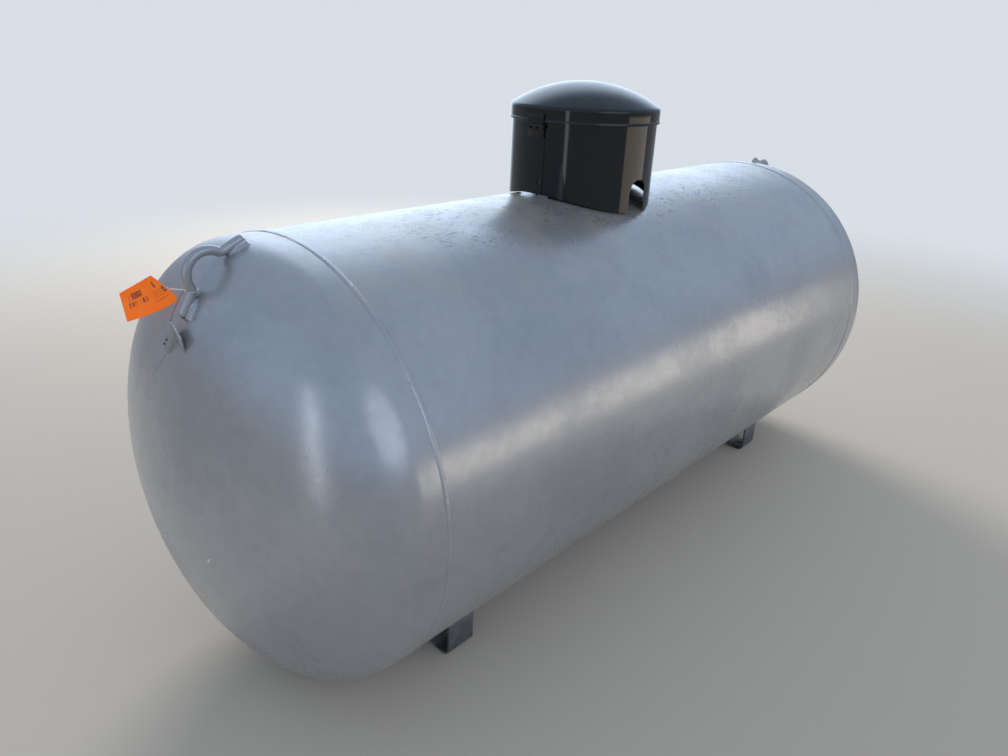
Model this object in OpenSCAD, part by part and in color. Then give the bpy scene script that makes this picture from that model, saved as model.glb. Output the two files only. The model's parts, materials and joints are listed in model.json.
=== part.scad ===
// Horizontal pressure tank on four pressed feet, with a hinged valve hood on its crest.
// X runs along the tank and its near head is at -X. The front faces -Y and Z is up.
// The origin is on the ground, under the middle of the tank. All sizes are in millimetres.

/* [Tank] */
// Outside diameter of the shell and of both heads
tank_d = 950; // [850:10:1100]
// Length of the rolled shell between the two girth welds
shell_l = 1872; // [1500:10:2400]
// Thickness of the rolled shell plate
shell_t = 6; // [4:0.5:10]
// Depth of the dished part of a head, measured outside
head_depth = 234; // [200:2:280]
// Straight flange of a head, from the weld to the dished part
head_flange = 46; // [30:1:70]
// Thickness of the head plate
head_t = 6.5; // [4:0.5:10]
// Clear height under the belly of the tank
belly_gap = 32; // [20:1:80]
// Width of a weld bead
bead_w = 12; // [8:1:18]
// Height of a weld bead above the plate
bead_h = 1.6; // [0.8:0.2:3]
// Angle of the shell's long seam below the axis, on the back
seam_bearing = 25; // [0:5:50]

/* [Feet] */
// Distance from a girth weld to the centre of the feet beside it
foot_inset = 200; // [120:5:400]
// Distance that the feet sit towards the far head, from the middle of the shell
foot_shift = 30; // [-60:5:60]
// Distance across the tank between the outer faces of the feet
foot_span = 550; // [440:5:600]
// Length of a foot along the tank
foot_l = 78; // [60:1:140]
// Width of the pressed channel across its base
foot_w = 64; // [56:1:80]
// Thickness of the foot plate
foot_t = 6; // [4:0.5:8]
// Outside bend radius of the pressed channel
foot_bend = 22; // [14:1:24]
// Lean of the inner flange, in degrees
foot_lean = 8; // [0:1:15]
// Diameter of the anchor bolt hole in the base
anchor_d = 13; // [10:1:16]

/* [Lifting lugs] */
// Diameter of the round bar
lug_bar_d = 19; // [14:1:24]
// Radius of the loop, to the centre of the bar
lug_loop_r = 42; // [34:1:55]
// Radius of the bend between the loop and a tail, to the centre of the bar
lug_bend_r = 14; // [12:1:20]
// Length of a straight tail
lug_tail = 42; // [30:1:60]
// Height of the loop's centre above the head plate
lug_lift = 2; // [0:1:10]
// Place of the loop's centre on the curve of the head, in degrees from its rim
lug_at = 26.5; // [24:0.5:32]
// Half of the angle between the two tails on the curve of the head, in degrees
lug_spread = 14; // [12:0.5:16]

/* [Hood body] */
// Outside diameter of the hood body
hood_d = 378; // [340:2:440]
// Thickness of the hood sheet
hood_t = 2; // [1.5:0.5:3]
// Height of the hood body's top edge above the tank crest
hood_h = 215; // [190:1:240]
// Place of the hood's centre along the tank, from the middle
hood_x = -22; // [-60:1:60]
// Gap between the hood's saddle edge and the shell
saddle_gap = 6; // [3:1:12]
// Width of each service notch
notch_w = 66; // [40:1:80]
// Height of the top of a notch above the tank crest
notch_h = 50; // [42:1:60]
// Bearing of the lap seam around the hood, in degrees
seam_at = 188; // [184:1:192]
// Width of the lap behind the seam
lap_w = 24; // [16:1:30]
// Diameter of the fixing hole beside the seam
fixing_d = 9; // [6:1:12]
// Height of the fixing hole above the tank crest
fixing_h = 36; // [30:1:40]

/* [Hood lid] */
// Radial gap between the hood body and the inside of the lid rim
lid_gap = 3; // [2.5:0.5:5]
// Height of the vertical rim of the lid
lid_rim = 29; // [24:1:36]
// Outside radius of the rounded shoulder
lid_shoulder = 12; // [8:1:18]
// Height of the lid from its lower edge to its crown
lid_h = 95; // [80:1:110]
// Width of the pressed bead along the lid's lower edge
lid_bead_w = 6; // [4:1:8]
// Height of that bead beyond the rim
lid_bead_h = 1.5; // [1:0.5:2]

/* [Hinge and lock] */
// Length of the hinge barrel
barrel_l = 52; // [40:1:60]
// Outside diameter of the hinge barrel
barrel_d = 8; // [7:0.5:9]
// Diameter of the hinge pin
pin_d = 4; // [3:0.5:5]
// Gap between two hinge knuckles
knuckle_gap = 0.6; // [0.4:0.1:1]
// Height of each hinge leaf from the pin
leaf_h = 27; // [22:1:30]
// Thickness of a hinge leaf at its thinnest
leaf_t = 3; // [2.5:0.5:3.5]
// Height of the lid's lower edge above the hinge pin
pin_drop = 8; // [7:0.5:10]
// Reach of the lock ears beyond the lid rim
ear_reach = 26; // [22:1:32]
// Width of the lock ears
ear_w = 30; // [26:1:40]
// Thickness of the lock ears
ear_t = 3; // [2.5:0.5:4]
// Gap between the two lock ears
ear_gap = 5; // [4:0.5:8]
// Diameter of the padlock hole
padlock_d = 11; // [8:1:13]

/* [Hood fixings] */
// Width of a fixing tab
tab_w = 28; // [20:1:36]
// Thickness of a fixing tab
tab_t = 3; // [2:0.5:4]
// Height of a fixing tab above the tank crest
tab_h = 50; // [46:1:60]

/* [Valves] */
// Diameter of a large coupling
coupling_d = 64; // [60:1:72]
// Diameter of a small coupling
small_coupling_d = 44; // [42:1:50]
// Height of the couplings above the tank crest
coupling_h = 24; // [16:1:34]
// Height of a valve's hexagon
hex_h = 22; // [16:1:26]
// Width across the flats of a large hexagon
large_hex = 54; // [50:1:56]
// Width across the flats of a small hexagon
small_hex = 36; // [32:1:38]
// Height of the fill valve's barrel above its hexagon
fill_h = 46; // [36:1:60]
// Diameter of the fill valve's barrel
fill_d = 44; // [40:1:48]
// Height of the relief valve's body above its hexagon
relief_h = 62; // [50:1:80]
// Diameter of the relief valve's body
relief_d = 50; // [44:1:52]
// Height of the service valve's body above its hexagon
service_h = 58; // [54:1:70]
// Diameter of the service valve's outlet
outlet_d = 30; // [26:1:32]
// Reach of the outlet from the middle of the service valve
outlet_reach = 40; // [34:1:46]
// Bore of the outlet
outlet_bore = 22; // [18:1:23]
// Diameter of the service valve's handwheel
handwheel_d = 58; // [50:1:70]
// Height of the vapour valve's barrel above its hexagon
vapour_h = 36; // [30:1:50]
// Height of the liquid valve's barrel above its hexagon
liquid_h = 30; // [26:1:44]
// Diameter of the vapour and liquid valves' barrels
barrel_w = 28; // [24:1:30]
// Height of the caps that screw over those barrels
screw_cap_h = 20; // [16:1:24]
// Width of the gauge's square flange
gauge_w = 68; // [64:1:74]
// Diameter of the gauge dial
dial_d = 54; // [44:1:56]

/* [Bracket] */
// Thickness of the small angle bracket
bracket_t = 2.5; // [2:0.5:4]
// Diameter of its rivet holes
rivet_d = 3.6; // [2:0.2:5]

/* [Tag] */
// Length of the card tag
tag_l = 121; // [90:1:160]
// Width of the card tag
tag_w = 60; // [50:1:80]
// Thickness of the card tag
tag_t = 0.6; // [0.4:0.1:1]
// Length of the clipped corners beside the eyelet
tag_clip = 12; // [6:1:16]
// Diameter of the ring pressed round the eyelet
eyelet_d = 16; // [12:1:18]
// Diameter of the eyelet's hole
eyelet_hole = 6; // [5:0.5:8]
// Diameter of the tie wires
wire_d = 1.2; // [0.8:0.2:2]

/* [Hidden] */
$fn = 96;

tank_r = tank_d / 2;
axis_z = belly_gap + tank_r;
crest_z = axis_z + tank_r;
dish_x = shell_l / 2 + head_flange;
hood_r = hood_d / 2;
lid_r = hood_r + lid_gap + hood_t;
lid_rest = 0.3;
lid_inner_r = lid_shoulder - hood_t;
lid_seat_run = hood_r - (lid_r - lid_shoulder);
lid_seat = lid_rim + sqrt(lid_inner_r * lid_inner_r - lid_seat_run * lid_seat_run);
lid_z = crest_z + hood_h + lid_rest - lid_seat;
pin_x = hood_x - lid_r;
pin_z = lid_z - pin_drop;
seat_gap = 0.2;
pin_gap = 0.05;
cut = 1;
dish_steps = 40;
foot_pitch = shell_l - 2 * foot_inset;
seam_slot = 1.5;
fixing_turn = 4;
knuckles = 5;
knuckle_l = (barrel_l - (knuckles - 1) * knuckle_gap) / knuckles;
pin_head = 1.5;
chamfer = 1.5;
thread_run = 0.3;
valve_z = crest_z + coupling_h;

// Places of the valves, as [x, y] from the hood's centre
fill_at = [-95, -40];
relief_at = [70, 70];
service_at = [35, -100];
vapour_at = [-50, 85];
gauge_at = [0, 0];
liquid_at = [115, -20];

// The bracket's place on the head, in degrees from its rim, and its edges as [up, back, out]
// from there: the fold, and for each flange the run of its lower edge. The top of a flange's
// free edge is a share of the fold, then a share of that run, and each flange laps past the
// fold by a small share.
bracket_at = 48;
bracket_y = 15;
bracket_fold = [27, 0, 17];
bracket_front = [-16, -43, -2];
bracket_front_top = [0.85, 1];
bracket_back = [-27, 9, -1];
bracket_back_top = [0.8, 1.67];
bracket_root = 0.3;
bracket_lap = 0.02;
rivet_places = [[0.67, 0.98], [0.67, 1.31]];

// The tag's eyelet from the near lug's centre, the turns of the card about it, and the tie's
// angle about the lug's lower bend
tag_hang = [-70, 36, -22];
tag_turn = [5.6, -26.7, -65.2];
tag_tie = 0;
eyelet_inset = 11;
wrap_gap = 0.6;
wrap_turn = 300;
wrap_steps = 20;

paint_silver = [0.78, 0.80, 0.82];
paint_black = [0.05, 0.06, 0.07];
card_orange = [0.93, 0.46, 0.23];
wire_steel = [0.6, 0.6, 0.58];
wire_red = [0.45, 0.2, 0.16];
brass = [0.72, 0.58, 0.30];
dark_rubber = [0.12, 0.12, 0.12];

function unit(v) = v / norm(v);
function angle_of(v) = atan2(v[1], v[0]);
function reversed(list) = [for (i = [len(list) - 1 : -1 : 0]) list[i]];
function arc(c, radius, from, to, steps) =
    [for (i = [0 : steps])
        let (a = from + (to - from) * i / steps)
        c + radius * [cos(a), sin(a)]];

// Outline of a head's dish, from rim to pole, as [distance from the rim, radius]
function dish(depth, radius) =
    [for (i = [0 : dish_steps]) let (a = 90 * i / dish_steps) [depth * sin(a), radius * cos(a)]];

// Point, outward normal and direction to the pole on the head's curve, as [x, z - axis_z]
function head_point(a) = [dish_x + head_depth * sin(a), tank_r * cos(a)];
function head_normal(a) = unit([tank_r * sin(a), head_depth * cos(a)]);
function head_tangent(a) = unit([head_depth * cos(a), -tank_r * sin(a)]);

// Tank

module shell() {
    color(paint_silver)
    translate([-shell_l / 2, 0, axis_z])
    rotate([0, 90, 0])
    difference() {
        cylinder(h = shell_l, r = tank_r);
        translate([0, 0, -cut]) cylinder(h = shell_l + 2 * cut, r = tank_r - shell_t);
    }
}

module head_profile() {
    inner = dish(head_depth - head_t, tank_r - head_t);
    outer = dish(head_depth, tank_r);
    polygon(concat(
        [[tank_r, 0]],
        [for (p = outer) [p[1], head_flange + p[0]]],
        [for (i = [dish_steps : -1 : 0]) [inner[i][1], head_flange + inner[i][0]]],
        [[tank_r - head_t, 0]]));
}

module head(side) {
    color(paint_silver)
    translate([side * shell_l / 2, 0, axis_z])
    rotate([0, side * 90, 0])
    rotate_extrude()
    head_profile();
}

module girth_weld(side) {
    color(paint_silver)
    translate([side * shell_l / 2 - bead_w / 2, 0, axis_z])
    rotate([0, 90, 0])
    rotate_extrude()
    translate([tank_r, 0])
    polygon([[0, 0], [bead_h, bead_w * 0.25], [bead_h, bead_w * 0.75], [0, bead_w]]);
}

// The long seam of the rolled shell, low on the back
module seam_weld() {
    half_angle = bead_w / tank_r * 90 / PI;
    color(paint_silver)
    translate([-shell_l / 2 + bead_w / 2, 0, axis_z])
    rotate([0, 90, 0])
    rotate([0, 0, 90 - seam_bearing])
    rotate([0, 0, -half_angle])
    rotate_extrude(angle = 2 * half_angle)
    translate([tank_r, 0])
    square([bead_h, shell_l - bead_w]);
}

// Feet

// One face of the pressed channel, r from the centres of its bends: x runs inwards from the
// outer face and y is up
function channel_face(r) =
    let (outer = [foot_bend, foot_bend],
         inner = [foot_w - foot_bend, foot_bend],
         lean = [sin(foot_lean), cos(foot_lean)])
    concat([[foot_bend - r, axis_z]],
        arc(outer, r, 180, 270, 6),
        arc(inner, r, 270, 360 - foot_lean, 6),
        [inner + r * [cos(foot_lean), -sin(foot_lean)] + axis_z * lean]);

module foot_section() {
    polygon(concat(channel_face(foot_bend), reversed(channel_face(foot_bend - foot_t))));
}

module foot(side_x, side_y) {
    color(paint_silver)
    translate([foot_shift + side_x * foot_pitch / 2, 0, 0])
    difference() {
        translate([foot_l / 2, 0, 0])
        mirror([0, side_y > 0 ? 1 : 0, 0])
        translate([0, -foot_span / 2, 0])
        rotate([90, 0, -90])
        mirror([1, 0, 0])
        linear_extrude(height = foot_l)
        foot_section();
        translate([-foot_l, 0, axis_z])
        rotate([0, 90, 0])
        cylinder(h = 2 * foot_l, r = tank_r);
        translate([0, side_y * (foot_span - foot_w) / 2, -cut])
        cylinder(h = foot_t + 2 * cut, d = anchor_d, $fn = 48);
        translate([-foot_l, -tank_d, axis_z])
        cube([2 * foot_l, 2 * tank_d, tank_d]);
    }
}

// Lifting lugs

// Centre of the bend that joins the loop, round c, to a tail. The tail's line passes
// through p in direction d, with its outward normal n.
function bend_centre(c, p, d, n) =
    let (q = p + lug_bend_r * n - c,
         along = q * d,
         reach = lug_loop_r + lug_bend_r)
    c + q + d * (-along + sqrt(along * along - q * q + reach * reach));

// Centre of one bend. turn is 1 for the tail that runs to the pole of the head and -1 for
// the one that runs to the shell.
function lug_bend(at, turn) =
    let (n = head_normal(at),
         p = head_point(at) + (lug_bar_d / 2 + seat_gap) * n)
    bend_centre(lug_centre(), p, turn * head_tangent(at), n);

// Centre line of one bend and its tail, from the loop outwards
function lug_arm(c, at, turn) =
    let (n = head_normal(at),
         d = turn * head_tangent(at),
         f = lug_bend(at, turn),
         to_loop = angle_of(c - f),
         to_tail = angle_of(-n),
         sweep = turn * (((turn * (to_tail - to_loop)) % 360 + 360) % 360))
    concat(arc(f, lug_bend_r, to_loop, to_loop + sweep, 6),
        [f - lug_bend_r * n + lug_tail * d]);

function lug_centre() = head_point(lug_at) + lug_lift * head_normal(lug_at);

function lug_path() =
    let (c = lug_centre(),
         low = lug_arm(c, lug_at + lug_spread, 1),
         high = lug_arm(c, lug_at - lug_spread, -1),
         loop = arc(c, lug_loop_r, angle_of(low[0] - c), angle_of(high[0] - c), 20))
    concat(reversed(low), [for (i = [1 : len(loop) - 2]) loop[i]], high);

// Round rod along a path. No stretch of the path runs along ref.
module rod(path, d, sides, ref) {
    last = len(path) - 1;
    rings = [for (i = [0 : last])
        let (t = unit(path[min(i + 1, last)] - path[max(i - 1, 0)]),
             a = unit(cross(t, ref)),
             b = cross(a, t))
        for (k = [0 : sides - 1])
            let (turn = 360 * k / sides)
            path[i] + d / 2 * (cos(turn) * a + sin(turn) * b)];
    polyhedron(rings, concat(
        [[for (k = [0 : sides - 1]) k]],
        [[for (k = [sides - 1 : -1 : 0]) last * sides + k]],
        [for (i = [0 : last - 1]) for (k = [0 : sides - 1])
            [i * sides + k, (i + 1) * sides + k, i * sides + (k + 1) % sides]],
        [for (i = [0 : last - 1]) for (k = [0 : sides - 1])
            [(i + 1) * sides + k, (i + 1) * sides + (k + 1) % sides, i * sides + (k + 1) % sides]]));
}

module lifting_lug(side) {
    color(paint_silver)
    translate([0, 0, axis_z])
    mirror([side < 0 ? 1 : 0, 0, 0])
    rod([for (p = lug_path()) [p[0], 0, p[1]]], lug_bar_d, 16, [0, 1, 0]);
}

// Bracket

module on_near_head(at, y) {
    p = head_point(at);
    translate([-p[0], y, axis_z + p[1]])
    rotate([0, angle_of(head_normal(at)) - 90, 0])
    children();
}

module near_head_solid() {
    translate([-shell_l / 2, 0, axis_z])
    rotate([0, -90, 0])
    rotate_extrude()
    polygon(concat([[0, 0], [tank_r, 0]],
        [for (q = dish(head_depth, tank_r)) [q[1], head_flange + q[0]]]));
}

// One flange of the bracket, in the plane of the fold and of the flange's lower edge
module bracket_flange(run, top, side, holes) {
    e1 = unit(bracket_fold);
    e2 = unit(run - (run * e1) * e1);
    e3 = cross(e1, e2);
    corners = [[-bracket_root, -bracket_lap], [-bracket_root, 1], top, [1, -bracket_lap]];
    function flat(share) =
        let (p = share[0] * bracket_fold + share[1] * run) [p * e1, p * e2];
    multmatrix([for (i = [0 : 2]) [e1[i], e2[i], e3[i], 0]])
    translate([0, 0, side > 0 ? 0 : -bracket_t])
    difference() {
        linear_extrude(height = bracket_t)
        polygon([for (c = corners) flat(c)]);
        for (h = holes)
            translate(concat(flat(h), -cut))
            cylinder(h = bracket_t + 2 * cut, d = rivet_d, $fn = 24);
    }
}

// A short angle welded to the near head below its lug
module tag_bracket() {
    color(paint_silver)
    difference() {
        on_near_head(bracket_at, bracket_y) {
            bracket_flange(bracket_front, bracket_front_top, -1, []);
            bracket_flange(bracket_back, bracket_back_top, 1, rivet_places);
        }
        near_head_solid();
    }
}

// Tag and tie wires

near_lug = [-lug_centre()[0], 0, axis_z + lug_centre()[1]];
tag_eye = near_lug + tag_hang;

module tag() {
    color(card_orange)
    translate(tag_eye)
    rotate(tag_turn)
    rotate([90, 0, 0])
    difference() {
        union() {
            translate([0, 0, -tag_t / 2])
            linear_extrude(height = tag_t)
            polygon([
                [eyelet_inset - tag_l, -tag_w / 2],
                [eyelet_inset - tag_clip, -tag_w / 2],
                [eyelet_inset, tag_clip - tag_w / 2],
                [eyelet_inset, tag_w / 2 - tag_clip],
                [eyelet_inset - tag_clip, tag_w / 2],
                [eyelet_inset - tag_l, tag_w / 2]]);
            translate([0, 0, -tag_t]) cylinder(h = 2 * tag_t, d = eyelet_d, $fn = 48);
        }
        translate([0, 0, -cut]) cylinder(h = 2 * cut, d = eyelet_hole, $fn = 32);
    }
}

// The wire leaves the eyelet, meets the lug's bar at a tangent and wraps round its lower bend
tie_out = [-cos(tag_tie), 0, sin(tag_tie)];
tie_along = [sin(tag_tie), 0, cos(tag_tie)];
tie_bend = lug_bend(lug_at + lug_spread, 1);
tie_point = [-tie_bend[0], 0, axis_z + tie_bend[1]] - lug_bend_r * tie_out;
wrap_r = (lug_bar_d + wire_d) / 2 + wrap_gap;
wrap_pitch = 2 * wire_d;

function wrap_point(at, from) =
    tie_point + wrap_r * (cos(at) * tie_out + [0, sin(at), 0])
    + wrap_pitch * (from - at - wrap_turn / 2) / 360 * tie_along;

// A direction on the card, turned as the card is
function on_card(v) =
    let (a = tag_turn,
         p = [v[0], v[1] * cos(a[0]) - v[2] * sin(a[0]), v[1] * sin(a[0]) + v[2] * cos(a[0])],
         q = [p[0] * cos(a[1]) + p[2] * sin(a[1]), p[1], p[2] * cos(a[1]) - p[0] * sin(a[1])])
    [q[0] * cos(a[2]) - q[1] * sin(a[2]), q[0] * sin(a[2]) + q[1] * cos(a[2]), q[2]];

function tag_wire_path() =
    let (reach = [(tag_eye - tie_point) * tie_out, tag_eye[1]],
         from = angle_of(reach) - acos(wrap_r / norm(reach)),
         edge = tag_eye + ((eyelet_hole - wire_d) / 2 - seat_gap) * on_card([1, 0, 0]),
         through = on_card([0, 1, 0]))
    concat([edge - 3 * through, edge + 2 * through],
        [for (i = [0 : wrap_steps]) wrap_point(from - wrap_turn * i / wrap_steps, from)]);

module tag_wire() {
    color(wire_steel) rod(tag_wire_path(), wire_d, 8, tie_along);
}

// A second wire runs from the first one down to the end of the bracket's fold
function fold_end() =
    let (p = head_point(bracket_at), n = head_normal(bracket_at), up = -head_tangent(bracket_at),
         q = p + bracket_fold[0] * up + bracket_fold[2] * n)
    [-q[0], bracket_y, axis_z + q[1]];

function bracket_wire_path() =
    let (strand = tag_wire_path(),
         on_strand = strand[1] + 0.55 * (strand[2] - strand[1]),
         top = on_strand + [0, 0, -wire_d - seat_gap],
         end = fold_end() + [0, 0, wire_d / 2 + seat_gap],
         bow = [-3, 3, -4])
    [for (i = [0 : 8]) let (f = i / 8) top + f * (end - top) + 4 * f * (1 - f) * bow];

module bracket_wire() {
    color(wire_red) rod(bracket_wire_path(), wire_d, 8, [0, 1, 0]);
}

// Hood

module at_hood(height) {
    translate([hood_x, 0, height]) children();
}

// Part of a tube between two bearings
module tube_sector(inner, outer, height, bearing, width) {
    half = width / outer * 90 / PI;
    rotate([0, 0, bearing - half])
    rotate_extrude(angle = 2 * half)
    translate([inner, 0])
    square([outer - inner, height]);
}

module tank_cutter(gap) {
    translate([hood_x - hood_d, 0, axis_z])
    rotate([0, 90, 0])
    cylinder(h = 2 * hood_d, r = tank_r + gap);
}

module notch() {
    r = notch_w / 2;
    at_hood(crest_z + notch_h - r)
    rotate([90, 0, 0])
    translate([0, 0, -hood_d])
    union() {
        cylinder(h = 2 * hood_d, r = r);
        translate([-r, -hood_d, 0]) cube([notch_w, hood_d, 2 * hood_d]);
    }
}

module hood_body() {
    base = axis_z + tank_r / 2;
    high = crest_z + hood_h - base;
    color(paint_black)
    difference() {
        at_hood(base)
        union() {
            difference() {
                cylinder(h = high, r = hood_r);
                translate([0, 0, -cut]) cylinder(h = high + 2 * cut, r = hood_r - hood_t);
                seam_slot_cutter(high);
            }
            tube_sector(hood_r - 2 * hood_t, hood_r - hood_t, high, seam_at, lap_w);
        }
        tank_cutter(saddle_gap);
        notch();
        at_hood(crest_z + fixing_h)
        rotate([0, 90, seam_at - fixing_turn])
        cylinder(h = hood_d, d = fixing_d, $fn = 32);
    }
}

// The open line of the lap seam, one sheet deep
module seam_slot_cutter(high) {
    rotate([0, 0, seam_at])
    translate([hood_r - hood_t, -seam_slot / 2, -cut])
    cube([2 * hood_t, seam_slot, high + 2 * cut]);
}

module hood_tabs() {
    color(paint_silver)
    difference() {
        for (i = [0 : 2]) {
            behind = i == 0 ? 2 * hood_t : hood_t;
            outer = hood_r - behind - seat_gap;
            at_hood(axis_z + tank_r / 2)
            tube_sector(outer - tab_t, outer, crest_z + tab_h - axis_z - tank_r / 2, seam_at + 120 * i, tab_w);
        }
        tank_cutter(0);
    }
}

module lid_shape(inset) {
    k = lid_h - lid_rim;
    run = lid_r - lid_shoulder;
    crown = (run * run + k * k - lid_shoulder * lid_shoulder) / (2 * (k - lid_shoulder));
    centre = lid_h - crown;
    edge = atan2(run, lid_rim - centre);
    square([lid_r - inset, lid_rim]);
    translate([run, lid_rim]) circle(lid_shoulder - inset);
    intersection() {
        translate([0, centre]) circle(crown - inset);
        translate([0, centre])
        polygon([[0, 0], [0, 2 * crown], [2 * crown * sin(edge), 2 * crown * cos(edge)]]);
        square([lid_r, lid_h]);
    }
}

module hood_lid() {
    bead_cut = 2 * lid_bead_w;
    color(paint_black)
    difference() {
        at_hood(lid_z)
        union() {
            rotate_extrude()
            difference() {
                lid_shape(0);
                lid_shape(hood_t);
                translate([-cut, -cut]) square([lid_r - hood_t + cut, lid_rim + cut]);
                translate([-2 * lid_r, -lid_h]) square([2 * lid_r, 3 * lid_h]);
            }
            rotate_extrude()
            translate([lid_r - hood_t, 0])
            square([hood_t + lid_bead_h, lid_bead_w]);
        }
        for (side = [-1, 1])
            at_hood(lid_z - cut)
            difference() {
                translate([side > 0 ? 0 : -2 * lid_r, -(barrel_l + 2 * leaf_t) / 2, 0])
                cube([2 * lid_r, barrel_l + 2 * leaf_t, bead_cut]);
                cylinder(h = bead_cut, r = lid_r);
            }
    }
}

// Hinge

// Every other knuckle, starting with the given one
module knuckle_row(first, toward) {
    for (i = [first : 2 : knuckles - 1])
        translate([0, -barrel_l / 2 + i * (knuckle_l + knuckle_gap), 0]) {
            rotate([-90, 0, 0]) cylinder(h = knuckle_l, d = barrel_d, $fn = 48);
            translate([-leaf_t, 0, toward > 0 ? 0 : -barrel_d])
            cube([leaf_t + barrel_d, knuckle_l, barrel_d]);
        }
}

module pin_bore() {
    translate([0, barrel_l, 0])
    rotate([90, 0, 0])
    cylinder(h = 2 * barrel_l, r = pin_d / 2 + pin_gap, $fn = 48);
}

module hinge_leaf(toward, first, back_r) {
    difference() {
        translate([pin_x, 0, pin_z])
        difference() {
            union() {
                knuckle_row(first, toward);
                translate([-leaf_t + (toward < 0 ? leaf_t + 1.5 : 0), -barrel_l / 2,
                    toward > 0 ? barrel_d / 2 + 1 : -leaf_h])
                cube([2 * barrel_d, barrel_l, leaf_h - barrel_d / 2 - 1]);
            }
            pin_bore();
        }
        at_hood(pin_z - 2 * leaf_h)
        cylinder(h = 4 * leaf_h, r = back_r, $fn = 360);
    }
}

module hinge_leaf_lid() {
    color(paint_black) hinge_leaf(1, 1, lid_r);
}

module hinge_leaf_body() {
    color(paint_black) hinge_leaf(-1, 0, hood_r);
}

module hinge_pin() {
    color(paint_black)
    translate([pin_x, 0, pin_z]) {
        translate([0, barrel_l / 2 + pin_head, 0])
        rotate([90, 0, 0])
        cylinder(h = barrel_l + 2 * pin_head, d = pin_d, $fn = 48);
        for (side = [-1, 1])
            translate([0, side * (barrel_l / 2 + pin_head) + (side > 0 ? pin_head : 0), 0])
            rotate([90, 0, 0])
            cylinder(h = pin_head, d = barrel_d - 1, $fn = 48);
    }
}

// Lock ears, opposite the hinge

module lock_ear(low_z, root_r) {
    tip = lid_r + ear_reach - ear_w / 2;
    color(paint_black)
    at_hood(low_z)
    difference() {
        union() {
            translate([0, -ear_w / 2, 0]) cube([tip, ear_w, ear_t]);
            translate([tip, 0, 0]) cylinder(h = ear_t, d = ear_w, $fn = 64);
        }
        translate([0, 0, -cut]) cylinder(h = ear_t + 2 * cut, r = root_r);
        translate([tip, 0, -cut]) cylinder(h = ear_t + 2 * cut, d = padlock_d, $fn = 48);
    }
}

module lock_ear_lid() {
    lock_ear(lid_z, lid_r);
}

module lock_ear_body() {
    lock_ear(lid_z - ear_gap - ear_t, hood_r);
}

// Valves under the hood

module on_tank(place, height) {
    translate([hood_x + place[0], place[1], height]) children();
}

module turned(profile) {
    rotate_extrude() polygon(profile);
}

// Round bar with both ends chamfered
module turned_bar(low, high, d, bevel) {
    turned([[0, low], [d / 2 - bevel, low], [d / 2, low + bevel],
        [d / 2, high - bevel], [d / 2 - bevel, high], [0, high]]);
}

// Hexagonal bar with its corners chamfered
module hexagon(low, high, across) {
    intersection() {
        translate([0, 0, low]) cylinder(h = high - low, d = across / cos(30), $fn = 6);
        turned_bar(low, high, across / cos(30) + 0.4 * chamfer, 2 * chamfer);
    }
}

// Threaded barrel with an undercut below it
module barrel(low, high, d) {
    undercut = 2 * chamfer;
    turned([[0, low], [d / 2 - chamfer, low], [d / 2 - chamfer, low + undercut],
        [d / 2, low + undercut + chamfer], [d / 2, high - chamfer], [d / 2 - chamfer, high], [0, high]]);
}

// Hollow cap that screws down over a barrel
module screw_cap(low, high, across, inner_d) {
    roof = 3;
    difference() {
        union() {
            hexagon(low, high - chamfer, across);
            turned([[0, high - chamfer - cut], [across / 2 - 1, high - chamfer - cut],
                [across / 2 - 1, high - chamfer], [across / 2 - 4, high], [0, high]]);
        }
        translate([0, 0, low - cut]) cylinder(h = high - low - roof + cut, d = inner_d);
    }
}

module coupling(place, d) {
    on_tank(place, axis_z) turned_bar(0, valve_z - axis_z, d, chamfer);
}

module couplings() {
    color(paint_silver)
    difference() {
        union() {
            for (place = [fill_at, relief_at, gauge_at]) coupling(place, coupling_d);
            for (place = [service_at, vapour_at, liquid_at]) coupling(place, small_coupling_d);
        }
        tank_cutter(0);
    }
}

module fill_valve() {
    color(brass)
    on_tank(fill_at, valve_z) {
        hexagon(0, hex_h, large_hex);
        barrel(hex_h, hex_h + fill_h, fill_d);
    }
}

// The fill cap has two grips, and a strap that ends in a ring round the barrel
module fill_cap() {
    cap_r = fill_d / 2 + 6;
    rim_h = 5;
    dome_r = 6;
    cap_h = 19;
    grip_w = 10;
    grip_l = 2 * cap_r + 12;
    ring_h = 3;
    ring_w = 5;
    strap_t = 3;
    strap_w = 9;
    strap_r = (fill_h + rim_h) / 2;
    color(dark_rubber)
    on_tank(fill_at, valve_z + hex_h) {
        translate([0, 0, fill_h]) {
            turned(concat([[0, 0], [cap_r, 0], [cap_r, rim_h], [cap_r - 2, rim_h + 2]],
                arc([cap_r - 2 - dome_r, cap_h - dome_r], dome_r, 0, 90, 5), [[0, cap_h]]));
            translate([-grip_l / 2 + grip_w / 2, -grip_w / 2, rim_h + 2])
            cube([grip_l - grip_w, grip_w, cap_h - dome_r - rim_h - 2]);
            for (side = [-1, 1])
                translate([side * (grip_l - grip_w) / 2, 0, rim_h + 2])
                cylinder(h = cap_h - dome_r - rim_h - 2, d = grip_w, $fn = 32);
        }
        difference() {
            cylinder(h = ring_h, r = fill_d / 2 + thread_run + ring_w);
            translate([0, 0, -cut]) cylinder(h = ring_h + 2 * cut, r = fill_d / 2 + thread_run);
        }
        translate([0, strap_w / 2, strap_r])
        rotate([90, 0, 0])
        linear_extrude(height = strap_w)
        polygon(concat([[2 - cap_r, strap_r]],
            arc([-cap_r, 0], strap_r, 90, 270, 16),
            [[2 - cap_r, -strap_r], [2 - cap_r, strap_t - strap_r]],
            arc([-cap_r, 0], strap_r - strap_t, 270, 90, 16),
            [[2 - cap_r, strap_r - strap_t]]));
    }
}

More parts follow.
